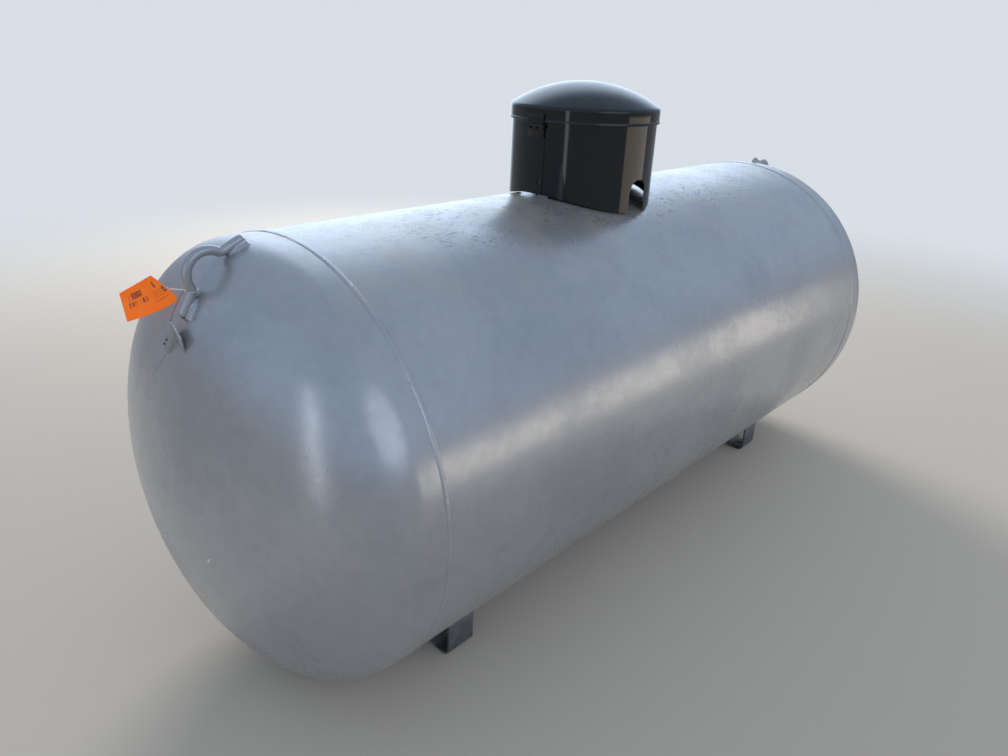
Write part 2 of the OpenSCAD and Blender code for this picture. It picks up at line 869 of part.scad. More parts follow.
module relief_valve() {
    color(brass)
    on_tank(relief_at, valve_z) {
        hexagon(0, hex_h, large_hex);
        turned([[0, hex_h], [relief_d / 2 - 4, hex_h], [relief_d / 2 - 4, hex_h + 6],
            [relief_d / 2, hex_h + 10], [relief_d / 2, hex_h + relief_h - chamfer],
            [relief_d / 2 - chamfer, hex_h + relief_h], [0, hex_h + relief_h]]);
    }
}

// Rain cap with a skirt that hangs round the relief valve's body
module relief_cap() {
    inner = relief_d / 2 + 1;
    outer = inner + 2.5;
    skirt = 10;
    dome_r = 8;
    cap_h = 16;
    color(dark_rubber)
    on_tank(relief_at, valve_z + hex_h + relief_h)
    turned(concat([[0, 0], [inner, 0], [inner, -skirt], [outer, -skirt]],
        arc([outer - dome_r, cap_h - dome_r - 2], dome_r, 0, 60, 5), [[0, cap_h]]));
}

// Height of the outlet's axis above the coupling
outlet_z = hex_h + service_h * 0.36;

module service_valve() {
    top = hex_h + service_h;
    body_r = outlet_d / 2 + 2;
    color(brass)
    on_tank(service_at, valve_z) {
        hexagon(0, hex_h, small_hex);
        difference() {
            union() {
                turned([[0, hex_h], [body_r - 4, hex_h], [body_r - 4, hex_h + 2], [body_r, hex_h + 6],
                    [body_r, top - 26], [body_r - 4, top - 22], [0, top - 22]]);
                translate([0, 0, outlet_z])
                rotate([90, 0, 0]) {
                    cylinder(h = outlet_reach, d = outlet_d);
                    translate([0, 0, outlet_reach - 6]) turned_bar(0, 6, outlet_d + 3, chamfer);
                }
            }
            translate([0, 0, outlet_z])
            rotate([90, 0, 0])
            translate([0, 0, outlet_reach / 2])
            cylinder(h = outlet_reach, d = outlet_bore);
        }
        hexagon(top - 22, top - 14, outlet_d);
        barrel(top - 14, top - 7, 18);
        translate([0, 0, top - 7]) cylinder(h = 7, d = 8);
    }
}

// Plug in the service valve's outlet
module service_plug() {
    grip = outlet_bore - 2;
    color(brass)
    on_tank(service_at, valve_z + outlet_z)
    rotate([90, 0, 0])
    translate([0, 0, outlet_reach]) {
        turned([[0, 2 - outlet_reach / 2], [outlet_bore / 2 - 4, 2 - outlet_reach / 2],
            [outlet_bore / 2 - thread_run, 8 - outlet_reach / 2], [outlet_bore / 2 - thread_run, 0],
            [outlet_d / 2, 0], [outlet_d / 2, 3], [0, 3]]);
        hexagon(3, 12, grip);
    }
}

module service_handwheel() {
    r = handwheel_d / 2;
    spokes = 4;
    grips = 8;
    color("silver")
    on_tank(service_at, valve_z + hex_h + service_h)
    difference() {
        turned([[0, 0], [9, 0], [11, 3], [r - 6, 3], [r, 5], [r, 12], [r - 3, 14],
            [r - 8, 12], [12, 9], [9, 16], [0, 16]]);
        for (i = [0 : grips - 1])
            rotate([0, 0, 360 / grips * i])
            translate([r + 4, 0, -cut])
            cylinder(h = 16 + 2 * cut, r = 8, $fn = 48);
        for (i = [0 : spokes - 1])
            rotate([0, 0, 360 / spokes * (i + 0.5)])
            translate([(r + 9) / 2 - 2, 0, -cut])
            cylinder(h = 16 + 2 * cut, d = r - 21, $fn = 32);
    }
}

module vapour_valve() {
    color(brass)
    on_tank(vapour_at, valve_z) {
        hexagon(0, hex_h, small_hex);
        barrel(hex_h, hex_h + vapour_h, barrel_w);
    }
}

module liquid_valve() {
    color(brass)
    on_tank(liquid_at, valve_z) {
        hexagon(0, hex_h, small_hex);
        barrel(hex_h, hex_h + liquid_h, barrel_w);
    }
}

// A cap's roof rests on the end of its barrel
module barrel_cap(place, h) {
    roof = 3;
    color(brass)
    on_tank(place, valve_z + hex_h + h + roof)
    screw_cap(-screw_cap_h, 0, barrel_w + 6, barrel_w + 2 * thread_run);
}

module vapour_cap() {
    barrel_cap(vapour_at, vapour_h);
}

module liquid_cap() {
    barrel_cap(liquid_at, liquid_h);
}

// The gauge's square flange carries a round head with a sunk dial
module float_gauge() {
    flange_h = 8;
    corner_r = 10;
    head_h = 14;
    bezel = 4;
    span = gauge_w - 2 * corner_r;
    color("silver")
    on_tank(gauge_at, valve_z) {
        translate([-gauge_w / 2, -span / 2, 0]) cube([gauge_w, span, flange_h]);
        translate([-span / 2, -gauge_w / 2, 0]) cube([span, gauge_w, flange_h]);
        for (x = [-1, 1], y = [-1, 1])
            translate([x * span / 2, y * span / 2, 0]) cylinder(h = flange_h, r = corner_r, $fn = 48);
        turned([[0, flange_h], [dial_d / 2 + bezel, flange_h],
            [dial_d / 2 + bezel, flange_h + head_h - 3], [dial_d / 2 + bezel - 2, flange_h + head_h],
            [dial_d / 2, flange_h + head_h], [dial_d / 2, flange_h + head_h - 2], [0, flange_h + head_h - 2]]);
    }
}

shell();
head(-1);  // head_near
head(1);  // head_far
girth_weld(-1);  // girth_weld_near
girth_weld(1);  // girth_weld_far
seam_weld();
foot(-1, -1);  // foot_near_front
foot(-1, 1);  // foot_near_back
foot(1, -1);  // foot_far_front
foot(1, 1);  // foot_far_back
lifting_lug(-1);  // lifting_lug_near
lifting_lug(1);  // lifting_lug_far
tag_bracket();
tag();
tag_wire();
bracket_wire();
hood_body();
hood_tabs();
hinge_leaf_body();
hinge_pin();
lock_ear_body();
hood_lid();
hinge_leaf_lid();
lock_ear_lid();
couplings();
fill_valve();
fill_cap();
relief_valve();
relief_cap();
service_valve();
service_handwheel();
service_plug();
vapour_valve();
vapour_cap();
float_gauge();
liquid_valve();
liquid_cap();
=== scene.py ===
import json
import math
import random

import bpy
from mathutils import Matrix, Vector


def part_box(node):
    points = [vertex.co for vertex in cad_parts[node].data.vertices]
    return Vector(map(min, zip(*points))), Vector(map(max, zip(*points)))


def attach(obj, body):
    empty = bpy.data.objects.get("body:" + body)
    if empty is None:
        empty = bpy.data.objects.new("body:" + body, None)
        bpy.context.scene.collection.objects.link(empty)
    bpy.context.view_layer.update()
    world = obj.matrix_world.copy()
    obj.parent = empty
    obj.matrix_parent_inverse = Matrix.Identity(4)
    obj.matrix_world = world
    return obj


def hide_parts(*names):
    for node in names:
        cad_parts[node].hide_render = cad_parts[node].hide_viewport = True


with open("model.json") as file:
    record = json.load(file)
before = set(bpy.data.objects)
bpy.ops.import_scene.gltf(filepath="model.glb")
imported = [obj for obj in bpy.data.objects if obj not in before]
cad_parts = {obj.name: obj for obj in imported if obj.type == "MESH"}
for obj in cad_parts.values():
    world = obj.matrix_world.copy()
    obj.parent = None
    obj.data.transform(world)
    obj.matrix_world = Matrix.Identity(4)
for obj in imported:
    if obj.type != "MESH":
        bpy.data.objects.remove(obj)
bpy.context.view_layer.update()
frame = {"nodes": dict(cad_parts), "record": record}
nodes = frame["nodes"]
slotOf = {part["node"]: part["material_slot"] for part in frame["record"]["subparts"]}
random.seed(7)


# Selecting and shaping
def clearSelection():
    for item in bpy.context.selected_objects:
        item.select_set(False)
    bpy.context.view_layer.objects.active = None


def pickUp(item):
    clearSelection()
    item.select_set(True)
    bpy.context.view_layer.objects.active = item


def openMesh(item):
    pickUp(item)
    bpy.ops.object.mode_set(mode="EDIT")
    bpy.ops.mesh.select_all(action="SELECT")


def closeMesh():
    bpy.ops.object.mode_set(mode="OBJECT")


def settle(item):  # the object goes to the origin and its place goes into the mesh
    pickUp(item)
    bpy.ops.object.transform_apply(location=True, rotation=True, scale=True)


def tidyMesh(item, gap=0.00001):
    openMesh(item)
    bpy.ops.mesh.remove_doubles(threshold=gap)
    bpy.ops.mesh.normals_make_consistent(inside=False)
    closeMesh()


def shape(item, kind, **settings):
    pickUp(item)
    modifier = item.modifiers.new(kind.lower(), kind)
    for name, value in settings.items():
        setattr(modifier, name, value)
    bpy.ops.object.modifier_apply(modifier=modifier.name)


def roundEdges(item, width, segments, angle):
    shape(item, "BEVEL", width=width, segments=segments, limit_method="ANGLE",
          angle_limit=math.radians(angle), use_clamp_overlap=True)


def smooth(item, angle=35):
    pickUp(item)
    bpy.ops.object.shade_smooth_by_angle(angle=math.radians(angle))


def cutWith(item, *cutters):
    for cutter in cutters:
        shape(item, "BOOLEAN", object=cutter, operation="DIFFERENCE", solver="EXACT")


def throwAway(*items):
    for item in items:
        bpy.data.objects.remove(item, do_unlink=True)


def joinInto(item, *others):
    pickUp(item)
    for other in others:
        other.select_set(True)
    bpy.ops.object.join()


# Of a mesh, only the points that pass the test are selected, in edit mode
def selectPoints(item, test):
    for vertex in item.data.vertices:
        vertex.select = test(vertex.co)
    for part in list(item.data.edges) + list(item.data.polygons):
        part.select = False
    pickUp(item)
    bpy.ops.object.mode_set(mode="EDIT")


def addCylinder(radius, depth, place, turn=(0, 0, 0), sides=32, ends="NGON"):
    clearSelection()
    bpy.ops.mesh.primitive_cylinder_add(
        vertices=sides, radius=radius, depth=depth, end_fill_type=ends, location=place, rotation=turn)
    piece = bpy.context.object
    settle(piece)
    return piece


def addBlock(size, place, angle):
    clearSelection()
    bpy.ops.mesh.primitive_cube_add(size=1, location=place, rotation=(0, 0, angle), scale=size)
    piece = bpy.context.object
    settle(piece)
    return piece


def addGrid(name, along, across, size=(1, 1)):
    clearSelection()
    bpy.ops.mesh.primitive_grid_add(x_subdivisions=along, y_subdivisions=across, size=1)
    piece = bpy.context.object
    piece.name = name
    piece.scale = (*size, 1)
    settle(piece)
    return piece


# A profile of (radius, height) points is extruded point by point, then spun about Z
def turnedPiece(name, outline, place=(0, 0, 0), turn=(0, 0, 0), steps=96, wall=0, sweep=360):
    clearSelection()
    bpy.ops.mesh.primitive_plane_add(size=1)
    piece = bpy.context.object
    piece.name = name
    bpy.ops.object.mode_set(mode="EDIT")
    bpy.ops.mesh.merge(type="CENTER")
    bpy.ops.transform.translate(value=(outline[0][0], 0, outline[0][1]))
    for here, there in zip(outline, outline[1:]):
        step = (there[0] - here[0], 0, there[1] - here[1])
        bpy.ops.mesh.extrude_region_move(TRANSFORM_OT_translate={"value": step})
    bpy.ops.mesh.select_all(action="SELECT")
    bpy.ops.mesh.spin(steps=steps, angle=math.radians(sweep), center=(0, 0, 0), axis=(0, 0, 1))
    closeMesh()
    tidyMesh(piece)
    if wall:
        shape(piece, "SOLIDIFY", thickness=wall, offset=-1)
    piece.location = place
    piece.rotation_euler = turn
    settle(piece)
    return piece


def arcPoints(center, radius, start, end, steps):
    angles = [math.radians(start + (end - start) * i / steps) for i in range(steps + 1)]
    return [(center[0] + radius * math.cos(a), center[1] + radius * math.sin(a)) for a in angles]


# A round bar, bead or wire along a line, as a curve that is turned into a mesh
def bentBar(name, points, radius, swell=None, closed=False):
    line = bpy.data.curves.new(name, "CURVE")
    line.dimensions = "3D"
    line.bevel_depth = radius
    line.bevel_resolution = 2
    line.use_fill_caps = not closed
    strand = line.splines.new("POLY")
    strand.points.add(len(points) - 1)
    strand.use_cyclic_u = closed
    for i, point in enumerate(points):
        strand.points[i].co = (*point, 1)
        if swell:
            strand.points[i].radius = swell(i)
    bar = bpy.data.objects.new(name, line)
    bpy.context.scene.collection.objects.link(bar)
    pickUp(bar)
    bpy.ops.object.convert(target="MESH")
    bar = bpy.context.object
    tidyMesh(bar)
    smooth(bar, 60)
    return bar


# A grid whose points are set by their share along and across it
def gridSurface(name, along, across, place):
    surface = addGrid(name, along, across)
    for vertex in surface.data.vertices:
        vertex.co = place(vertex.co.x + 0.5, vertex.co.y + 0.5)
    tidyMesh(surface, 0.000001)
    smooth(surface, 60)
    return surface


def resample(points, spacing):
    points = [Vector(point) for point in points]
    line = [points[0]]
    for here, there in zip(points, points[1:]):
        count = max(1, round((there - here).length / spacing))
        line += [here.lerp(there, i / count) for i in range(1, count + 1)]
    return line


# A finished piece rides on its body, stands for its node and gets its finish
def deliver(piece, finish, node=None, body="tank", slot=None):
    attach(piece, body)
    if node:
        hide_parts(node)
    piece.data.materials.clear()
    piece.data.materials.append(finishes[finish])
    slot or finish
    return piece


# A merged copy of a frame node, with its edges rounded, stands for that node
def dressNode(name, finish=None, body="tank", bevel=0.0004, angle=30, rounds=2, subdivide=0):
    piece = bpy.data.objects.new(name + "_dressed", nodes[name].data.copy())
    bpy.context.scene.collection.objects.link(piece)
    openMesh(piece)
    bpy.ops.mesh.remove_doubles(threshold=0.00001)
    if subdivide:
        bpy.ops.mesh.tris_convert_to_quads()
    else:
        bpy.ops.mesh.dissolve_limited(angle_limit=math.radians(0.6))
    closeMesh()
    roundEdges(piece, bevel, rounds, angle)
    if subdivide:
        shape(piece, "SUBSURF", levels=subdivide, render_levels=subdivide)
    smooth(piece, 38)
    return deliver(piece, finish or slotOf[name], name, body, slotOf[name])


print("stage: helpers")

# Camera, at the place and angle the photograph was taken from
cameraSetup = {
    "place": (-1.6972, -1.2724, 1.3236),
    "yaw": 0.7355,
    "pitch": -0.4105,
    "roll": 0.0443,
    "focalPixels": 757.47,
    "imageWidth": 1008,
    "sensorWidth": 36.0,
}


def addCamera(setup):
    turn = (
        Matrix.Rotation(setup["yaw"] - math.pi / 2, 3, "Z")
        @ Matrix.Rotation(setup["pitch"] + math.pi / 2, 3, "X")
        @ Matrix.Rotation(setup["roll"], 3, "Z")
    )
    clearSelection()
    bpy.ops.object.camera_add(location=setup["place"], rotation=turn.to_euler())
    camera = bpy.context.object
    camera.data.sensor_width = setup["sensorWidth"]
    camera.data.lens = setup["focalPixels"] / setup["imageWidth"] * setup["sensorWidth"]
    camera.data.clip_end = 400
    bpy.context.scene.camera = camera


addCamera(cameraSetup)


# Nodes of a shader tree: an input is a value or another node's output
def put(tree, kind, inputs=None, **settings):
    node = tree.nodes.new(kind)
    for name, value in settings.items():
        setattr(node, name, value)
    for name, value in (inputs or {}).items():
        if isinstance(value, bpy.types.NodeSocket):
            tree.links.new(value, node.inputs[name])
        else:
            node.inputs[name].default_value = value
    return node


def maths(tree, operation, first, second=0.0, clamp=False):
    node = put(tree, "ShaderNodeMath", {0: first, 1: second}, operation=operation, use_clamp=clamp)
    return node.outputs[0]


# base + mask × share
def addShare(tree, base, mask, share, clamp=False):
    return maths(tree, "ADD", base, maths(tree, "MULTIPLY", mask, share), clamp)


def product(tree, first, *others):
    for other in others:
        first = maths(tree, "MULTIPLY", first, other)
    return first


def vectorMaths(tree, operation, first, second=(0, 0, 0)):
    return put(tree, "ShaderNodeVectorMath", {0: first, 1: second}, operation=operation).outputs


def splitVector(tree, vector):
    return put(tree, "ShaderNodeSeparateXYZ", {0: vector}).outputs


def ramp(tree, value, low, high, start=0.0, end=1.0):
    node = put(tree, "ShaderNodeMapRange", {
        "Value": value, "From Min": low, "From Max": high, "To Min": start, "To Max": end,
    }, interpolation_type="SMOOTHSTEP")
    return node.outputs["Result"]


def blendColors(tree, mask, first, second):
    node = put(tree, "ShaderNodeMix", {0: mask, 6: first, 7: second}, data_type="RGBA")
    return node.outputs[2]


def blendShaders(tree, mask, first, second):
    node = put(tree, "ShaderNodeMixShader", {0: mask, 1: first.outputs[0], 2: second.outputs[0]})
    return node


# Floor, lamps and world
studio = {
    "floorColor": (0.66, 0.62, 0.565, 1),
    "floorSize": 60,
    "floorRoughness": 0.9,
    "fade": (2.2, 5.6),
    "backColor": (0.69, 0.735, 0.79, 1),
    "fillColor": (0.84, 0.91, 1.0, 1),
    "fillStrength": 0.46,
    "horizonColor": (0.34, 0.36, 0.39, 1),
    "skyColor": (0.47, 0.62, 0.84, 1),
    "skyRise": (-0.05, 0.35),
    "skyStrength": 1.0,
    "glowFacing": (0.60, 0.66, 0.28),
    "glowSpread": 0.76,
    "glowColor": (0.68, 0.82, 1.0, 1),
    "glowStrength": 2.45,
}
lamps = {
    "keyLamp": {
        "place": (2.9, 5.0, 3.3), "target": (0, 0, 0.7), "size": (3.0, 3.0),
        "power": 290, "color": (1, 0.97, 0.93), "form": "ELLIPSE", "mirrored": False},
    "lowLamp": {
        "place": (2.5, -3.1, 0.50), "target": (0, -0.4, 0.6), "size": (3.4, 0.9),
        "power": 13, "color": (1, 0.86, 0.70), "form": "RECTANGLE", "mirrored": True},
    "sideLamp": {
        "place": (-3.6, -0.8, 1.2), "target": (0, 0, 0.9), "size": (0.35, 2.2),
        "power": 4, "color": (0.95, 0.97, 1), "form": "RECTANGLE", "mirrored": True},
    "frontLamp": {
        "place": (-0.6, -4.6, 3.0), "target": (0, 0, 0.5), "size": (4.4, 3.2),
        "power": 28, "color": (0.90, 0.95, 1), "form": "ELLIPSE", "mirrored": True},
}


def softLamp(name, look):
    clearSelection()
    bpy.ops.object.light_add(type="AREA", location=look["place"])
    lamp = bpy.context.object
    lamp.name = name
    lamp.data.shape = look["form"]
    lamp.data.size, lamp.data.size_y = look["size"]
    lamp.data.energy = look["power"]
    lamp.data.color = look["color"]
    lamp.visible_camera = False
    lamp.visible_glossy = look["mirrored"]
    aim = Vector(look["target"]) - Vector(look["place"])
    lamp.rotation_euler = aim.to_track_quat("-Z", "Y").to_euler()


def addFloor(look):
    clearSelection()
    bpy.ops.mesh.primitive_plane_add(size=look["floorSize"], location=(0, 0, 0))
    floor = bpy.context.object
    floor.name = "studioFloor"
    paint = bpy.data.materials.new("studioFloorPaint")
    paint.use_nodes = True
    tree = paint.node_tree
    shader = tree.nodes["Principled BSDF"]
    shader.inputs["Base Color"].default_value = look["floorColor"]
    shader.inputs["Roughness"].default_value = look["floorRoughness"]
    place = put(tree, "ShaderNodeTexCoord").outputs["Object"]
    fade = ramp(tree, vectorMaths(tree, "LENGTH", place)["Value"], *look["fade"])
    mix = blendShaders(tree, fade, shader, put(tree, "ShaderNodeBsdfTransparent"))
    tree.links.new(mix.outputs[0], tree.nodes["Material Output"].inputs["Surface"])
    floor.data.materials.append(paint)


# The eye sees a plain backdrop, gloss reflects a soft sky, and all else is lit by an even fill
def addWorld(look):
    world = bpy.data.worlds.new("studioWorld")
    bpy.context.scene.world = world
    world.use_nodes = True
    tree = world.node_tree
    tree.nodes.clear()

    def background(color, strength):
        return put(tree, "ShaderNodeBackground", {"Color": color, "Strength": strength})

    paths = put(tree, "ShaderNodeLightPath").outputs
    allView = maths(tree, "MAXIMUM", paths["Is Camera Ray"], paths["Is Transmission Ray"])
    facing = put(tree, "ShaderNodeTexCoord").outputs["Generated"]
    rise = ramp(tree, splitVector(tree, facing)["Z"], *look["skyRise"])
    sky = blendColors(tree, rise, look["horizonColor"], look["skyColor"])
    toGlow = Vector(look["glowFacing"]).normalized()
    closeness = vectorMaths(tree, "DOT_PRODUCT", facing, toGlow)["Value"]
    glow = ramp(tree, closeness, look["glowSpread"], 1.0)
    mirrored = background(
        blendColors(tree, glow, sky, look["glowColor"]),
        ramp(tree, glow, 0.0, 1.0, look["skyStrength"], look["glowStrength"]))
    fill = background(look["fillColor"], look["fillStrength"])
    indirect = blendShaders(tree, paths["Is Glossy Ray"], fill, mirrored)
    mix = blendShaders(tree, allView, indirect, background(look["backColor"], 1.0))
    out = put(tree, "ShaderNodeOutputWorld")
    tree.links.new(mix.outputs[0], out.inputs[0])


addFloor(studio)
addWorld(studio)
for name, look in lamps.items():
    softLamp(name, look)
bpy.context.scene.view_settings.view_transform = "Standard"
print("stage: camera and studio")


# Shared effects, as shader groups
def newGroup(name, inputs, output):
    group = bpy.data.node_groups.new(name, "ShaderNodeTree")
    for label in inputs:
        kind = "NodeSocketVector" if label == "Place" else "NodeSocketFloat"
        group.interface.new_socket(name=label, in_out="INPUT", socket_type=kind)
    group.interface.new_socket(name=output, in_out="OUTPUT", socket_type="NodeSocketFloat")
    given = group.nodes.new("NodeGroupInput").outputs
    return group, given, group.nodes.new("NodeGroupOutput").inputs[output]


def noise(tree, place, scale, detail=2.0, roughness=0.5):
    node = put(tree, "ShaderNodeTexNoise", {
        "Vector": place, "Scale": scale, "Detail": detail, "Roughness": roughness,
    })
    return node.outputs["Fac"]


# Fine orange peel and slow sags of sprayed paint, as a height in metres
def buildPeel():
    group, given, result = newGroup(
        "paintPeel", ("Place", "Grain Scale", "Grain Depth", "Sag Scale", "Sag Depth"), "Height")
    grain = noise(group, given["Place"], given["Grain Scale"], 1.5)
    sag = noise(group, given["Place"], given["Sag Scale"], 0.5)
    fine = maths(group, "MULTIPLY", grain, given["Grain Depth"])
    group.links.new(addShare(group, fine, sag, given["Sag Depth"]), result)
    return group


# Uneven patches, from 0 to 1
def buildPatches():
    group, given, result = newGroup("unevenPatches", ("Place", "Scale", "Low", "High"), "Mask")
    cloud = noise(group, given["Place"], given["Scale"], 4.0, 0.6)
    group.links.new(ramp(group, cloud, given["Low"], given["High"]), result)
    return group


speckShape = {
    "swirlScale": 75.0,
    "swirlDetail": 3.0,
    "swirlReach": 0.035,
    "ragScale": 400.0,
    "ragBase": 0.4,
    "softness": 0.04,
}


# Loose specks of dirt, each of its own size, bent by a swirl
def buildSpecks(spec):
    group, given, result = newGroup("dirtSpecks", ("Place", "Scale", "Size"), "Mask")
    swirl = put(group, "ShaderNodeTexNoise", {
        "Vector": given["Place"], "Scale": spec["swirlScale"], "Detail": spec["swirlDetail"]})
    shift = vectorMaths(group, "MULTIPLY", swirl.outputs["Color"], (spec["swirlReach"],) * 3)[0]
    moved = vectorMaths(group, "ADD", given["Place"], shift)[0]
    cells = put(group, "ShaderNodeTexVoronoi", {"Vector": moved, "Scale": given["Scale"]})
    pick = put(group, "ShaderNodeSeparateColor", {"Color": cells.outputs["Color"]})
    rag = maths(group, "ADD", noise(group, given["Place"], spec["ragScale"]), spec["ragBase"])
    reach = product(group, pick.outputs["Red"], given["Size"], rag)
    inside = maths(group, "SUBTRACT", reach, cells.outputs["Distance"])
    group.links.new(ramp(group, inside, 0.0, spec["softness"]), result)
    return group


# Dust that settles on what faces up
def buildDust():
    group, given, result = newGroup("settledDust", ("Place", "Scale", "Amount"), "Mask")
    facing = put(group, "ShaderNodeTexCoord").outputs["Normal"]
    lie = ramp(group, splitVector(group, facing)["Z"], 0.55, 1.0)
    patch = ramp(group, noise(group, given["Place"], given["Scale"], 5.0, 0.65), 0.35, 0.75)
    group.links.new(product(group, lie, patch, given["Amount"]), result)
    return group


effects = {
    "peel": buildPeel(),
    "patches": buildPatches(),
    "specks": buildSpecks(speckShape),
    "dust": buildDust(),
}


def effect(tree, name, inputs):
    return put(tree, "ShaderNodeGroup", inputs, node_tree=effects[name]).outputs[0]


def patchMask(tree, place, scale, low, high):
    return effect(tree, "patches", {"Place": place, "Scale": scale, "Low": low, "High": high})


def speckMask(tree, place, scale, size):
    return effect(tree, "specks", {"Place": place, "Scale": scale, "Size": size})


def dustMask(tree, place, scale, amount):
    return effect(tree, "dust", {"Place": place, "Scale": scale, "Amount": amount})


def peelHeight(tree, place, grainScale, grainDepth, sagScale, sagDepth):
    return effect(tree, "peel", {
        "Place": place, "Grain Scale": grainScale, "Grain Depth": grainDepth,
        "Sag Scale": sagScale, "Sag Depth": sagDepth,
    })


def newPaint(name, metallic, roughness, coat=0.0, coatRoughness=0.03):
    paint = bpy.data.materials.new(name)
    paint.use_nodes = True
    tree = paint.node_tree
    shader = tree.nodes["Principled BSDF"]
    shader.inputs["Metallic"].default_value = metallic
    shader.inputs["Roughness"].default_value = roughness
    shader.inputs["Coat Weight"].default_value = coat
    shader.inputs["Coat Roughness"].default_value = coatRoughness
    place = put(tree, "ShaderNodeTexCoord").outputs["Object"]
    return paint, tree, shader, place


def wire(tree, shader, **sources):
    for name, source in sources.items():
        tree.links.new(source, shader.inputs[name.replace("_", " ")])


def bump(tree, height):
    return put(tree, "ShaderNodeBump", {"Height": height, "Distance": 1.0, "Strength": 1.0}).outputs[0]


# Silver paint of the tank: sprayed over plate, dusty and dirty on the crest.
# A peel is grain scale and depth, then sag scale and depth; patches are scale, low and high.
silver = {
    # The slight blue of these silver colours is a painted sky tint; the paint itself is grey
    "color": (0.435, 0.455, 0.488, 1),
    "thinColor": (0.355, 0.378, 0.415, 1),
    "dustColor": (0.50, 0.46, 0.39, 1),
    "speckColor": (0.09, 0.065, 0.045, 1),
    "bareColor": (0.80, 0.82, 0.84, 1),
    "darkLineColor": (0.16, 0.16, 0.17, 1),
    "metallic": 0.45,
    "roughness": 0.265,
    "peel": (260.0, 0.00010, 7.0, 0.0012),
    "patches": (3.2, 0.38, 0.66),
    "mottle": (38.0, 0.42, 0.62),
    "mottleShare": 0.25,
    "thinRoughness": 0.10,
    "dust": (9.0, 0.5),
    "dustRoughness": 0.12,
    "dirtMetallic": -0.25,
    "speckDrawn": (0.4, 1, 1),
    "fineSpecks": (150.0, 0.46),
    "coarseSpecks": (70.0, 0.34),
    "speckDrift": (8.0, 0.44, 0.56),
    "speckReach": (0.95, 0.30),
    "speckHeight": 0.0008,
    "crest": (0.90, 0.975),
    "grime": 0.0,
    "grimeAndShadeColor": (0.055, 0.05, 0.045, 1),
    "grimeAndShadeHeights": (0.16, 0.02),
    "grimeAndShadeTop": 0.3,
    "grimeAndShadePatches": (30.0, 0.2, 0.7),
    "grimeAndShadeBase": 0.6,
}
# The feet are darker and bluer than the shell, partly a darker paint and partly painted shade; towards the
# ground they darken further with grime and painted shade
footPaint = dict(
    silver, color=(0.30, 0.36, 0.44, 1), thinColor=(0.24, 0.29, 0.36, 1), metallic=0.3,
    roughness=0.42, grime=0.9)
# Pale, more metallic silver: a painted highlight on the bracket's upward faces
paintedHighlight = dict(silver, color=(0.74, 0.75, 0.76, 1), thinColor=(0.5, 0.51, 0.52, 1), metallic=0.8)
headMarks = {
    "scratchPlace": (-1.2064, -0.1103, 0.4294),
    "scratchTurn": 0.84,
    "scratchSize": (0.03, 0.0145, 0.0022),
    "scratchGrain": 500.0,
    "scratchRag": 1.2,
    "scratchEdge": (1.5, 1.2),
    "darkLineTop": (-1.1666, 0.0275, 0.7977),
    "darkLineAlong": (-0.184, 0.603, -0.777),
    "darkLineAcross": (0.228, 0.795, 0.5625),
    "darkLineLength": 0.118,
    "darkLineSides": (0.00096, 0.00036),
    "darkLineStart": 0.002,
}


# A small bright scratch, as a ragged ellipsoid about its place
def scratchMask(tree, place, marks):
    away = vectorMaths(tree, "SUBTRACT", place, marks["scratchPlace"])[0]
    turned = put(tree, "ShaderNodeVectorRotate", {
        "Vector": away, "Angle": marks["scratchTurn"], "Axis": (1, 0, 0),
    }, rotation_type="AXIS_ANGLE").outputs[0]
    shrunk = vectorMaths(tree, "DIVIDE", turned, marks["scratchSize"])[0]
    far = vectorMaths(tree, "LENGTH", shrunk)["Value"]
    ragged = addShare(tree, far, noise(tree, place, marks["scratchGrain"]), marks["scratchRag"])
    return ramp(tree, ragged, *marks["scratchEdge"])


# A thin dark line that trails from the bracket
def darkLineMask(tree, place, marks):
    away = vectorMaths(tree, "SUBTRACT", place, marks["darkLineTop"])[0]
    along = vectorMaths(tree, "DOT_PRODUCT", away, marks["darkLineAlong"])["Value"]
    across = vectorMaths(tree, "DOT_PRODUCT", away, marks["darkLineAcross"])["Value"]
    width = ramp(tree, maths(tree, "ABSOLUTE", across), *marks["darkLineSides"])
    start = ramp(tree, along, -marks["darkLineStart"], marks["darkLineStart"])
    end = ramp(tree, along, marks["darkLineLength"], marks["darkLineLength"] / 2)
    return product(tree, width, start, end)


# Specks of dirt near the hood, on the crest
def crestSpecks(tree, place, height, look):
    drawn = vectorMaths(tree, "MULTIPLY", place, look["speckDrawn"])[0]
    fine = speckMask(tree, drawn, *look["fineSpecks"])
    coarse = speckMask(tree, drawn, *look["coarseSpecks"])
    drift = patchMask(tree, place, *look["speckDrift"])
    crest = ramp(tree, height, *look["crest"])
    fromHood = maths(tree, "ABSOLUTE", splitVector(tree, place)["X"])
    near = ramp(tree, fromHood, *look["speckReach"])
    return product(tree, maths(tree, "MAXIMUM", fine, coarse), drift, crest, near)


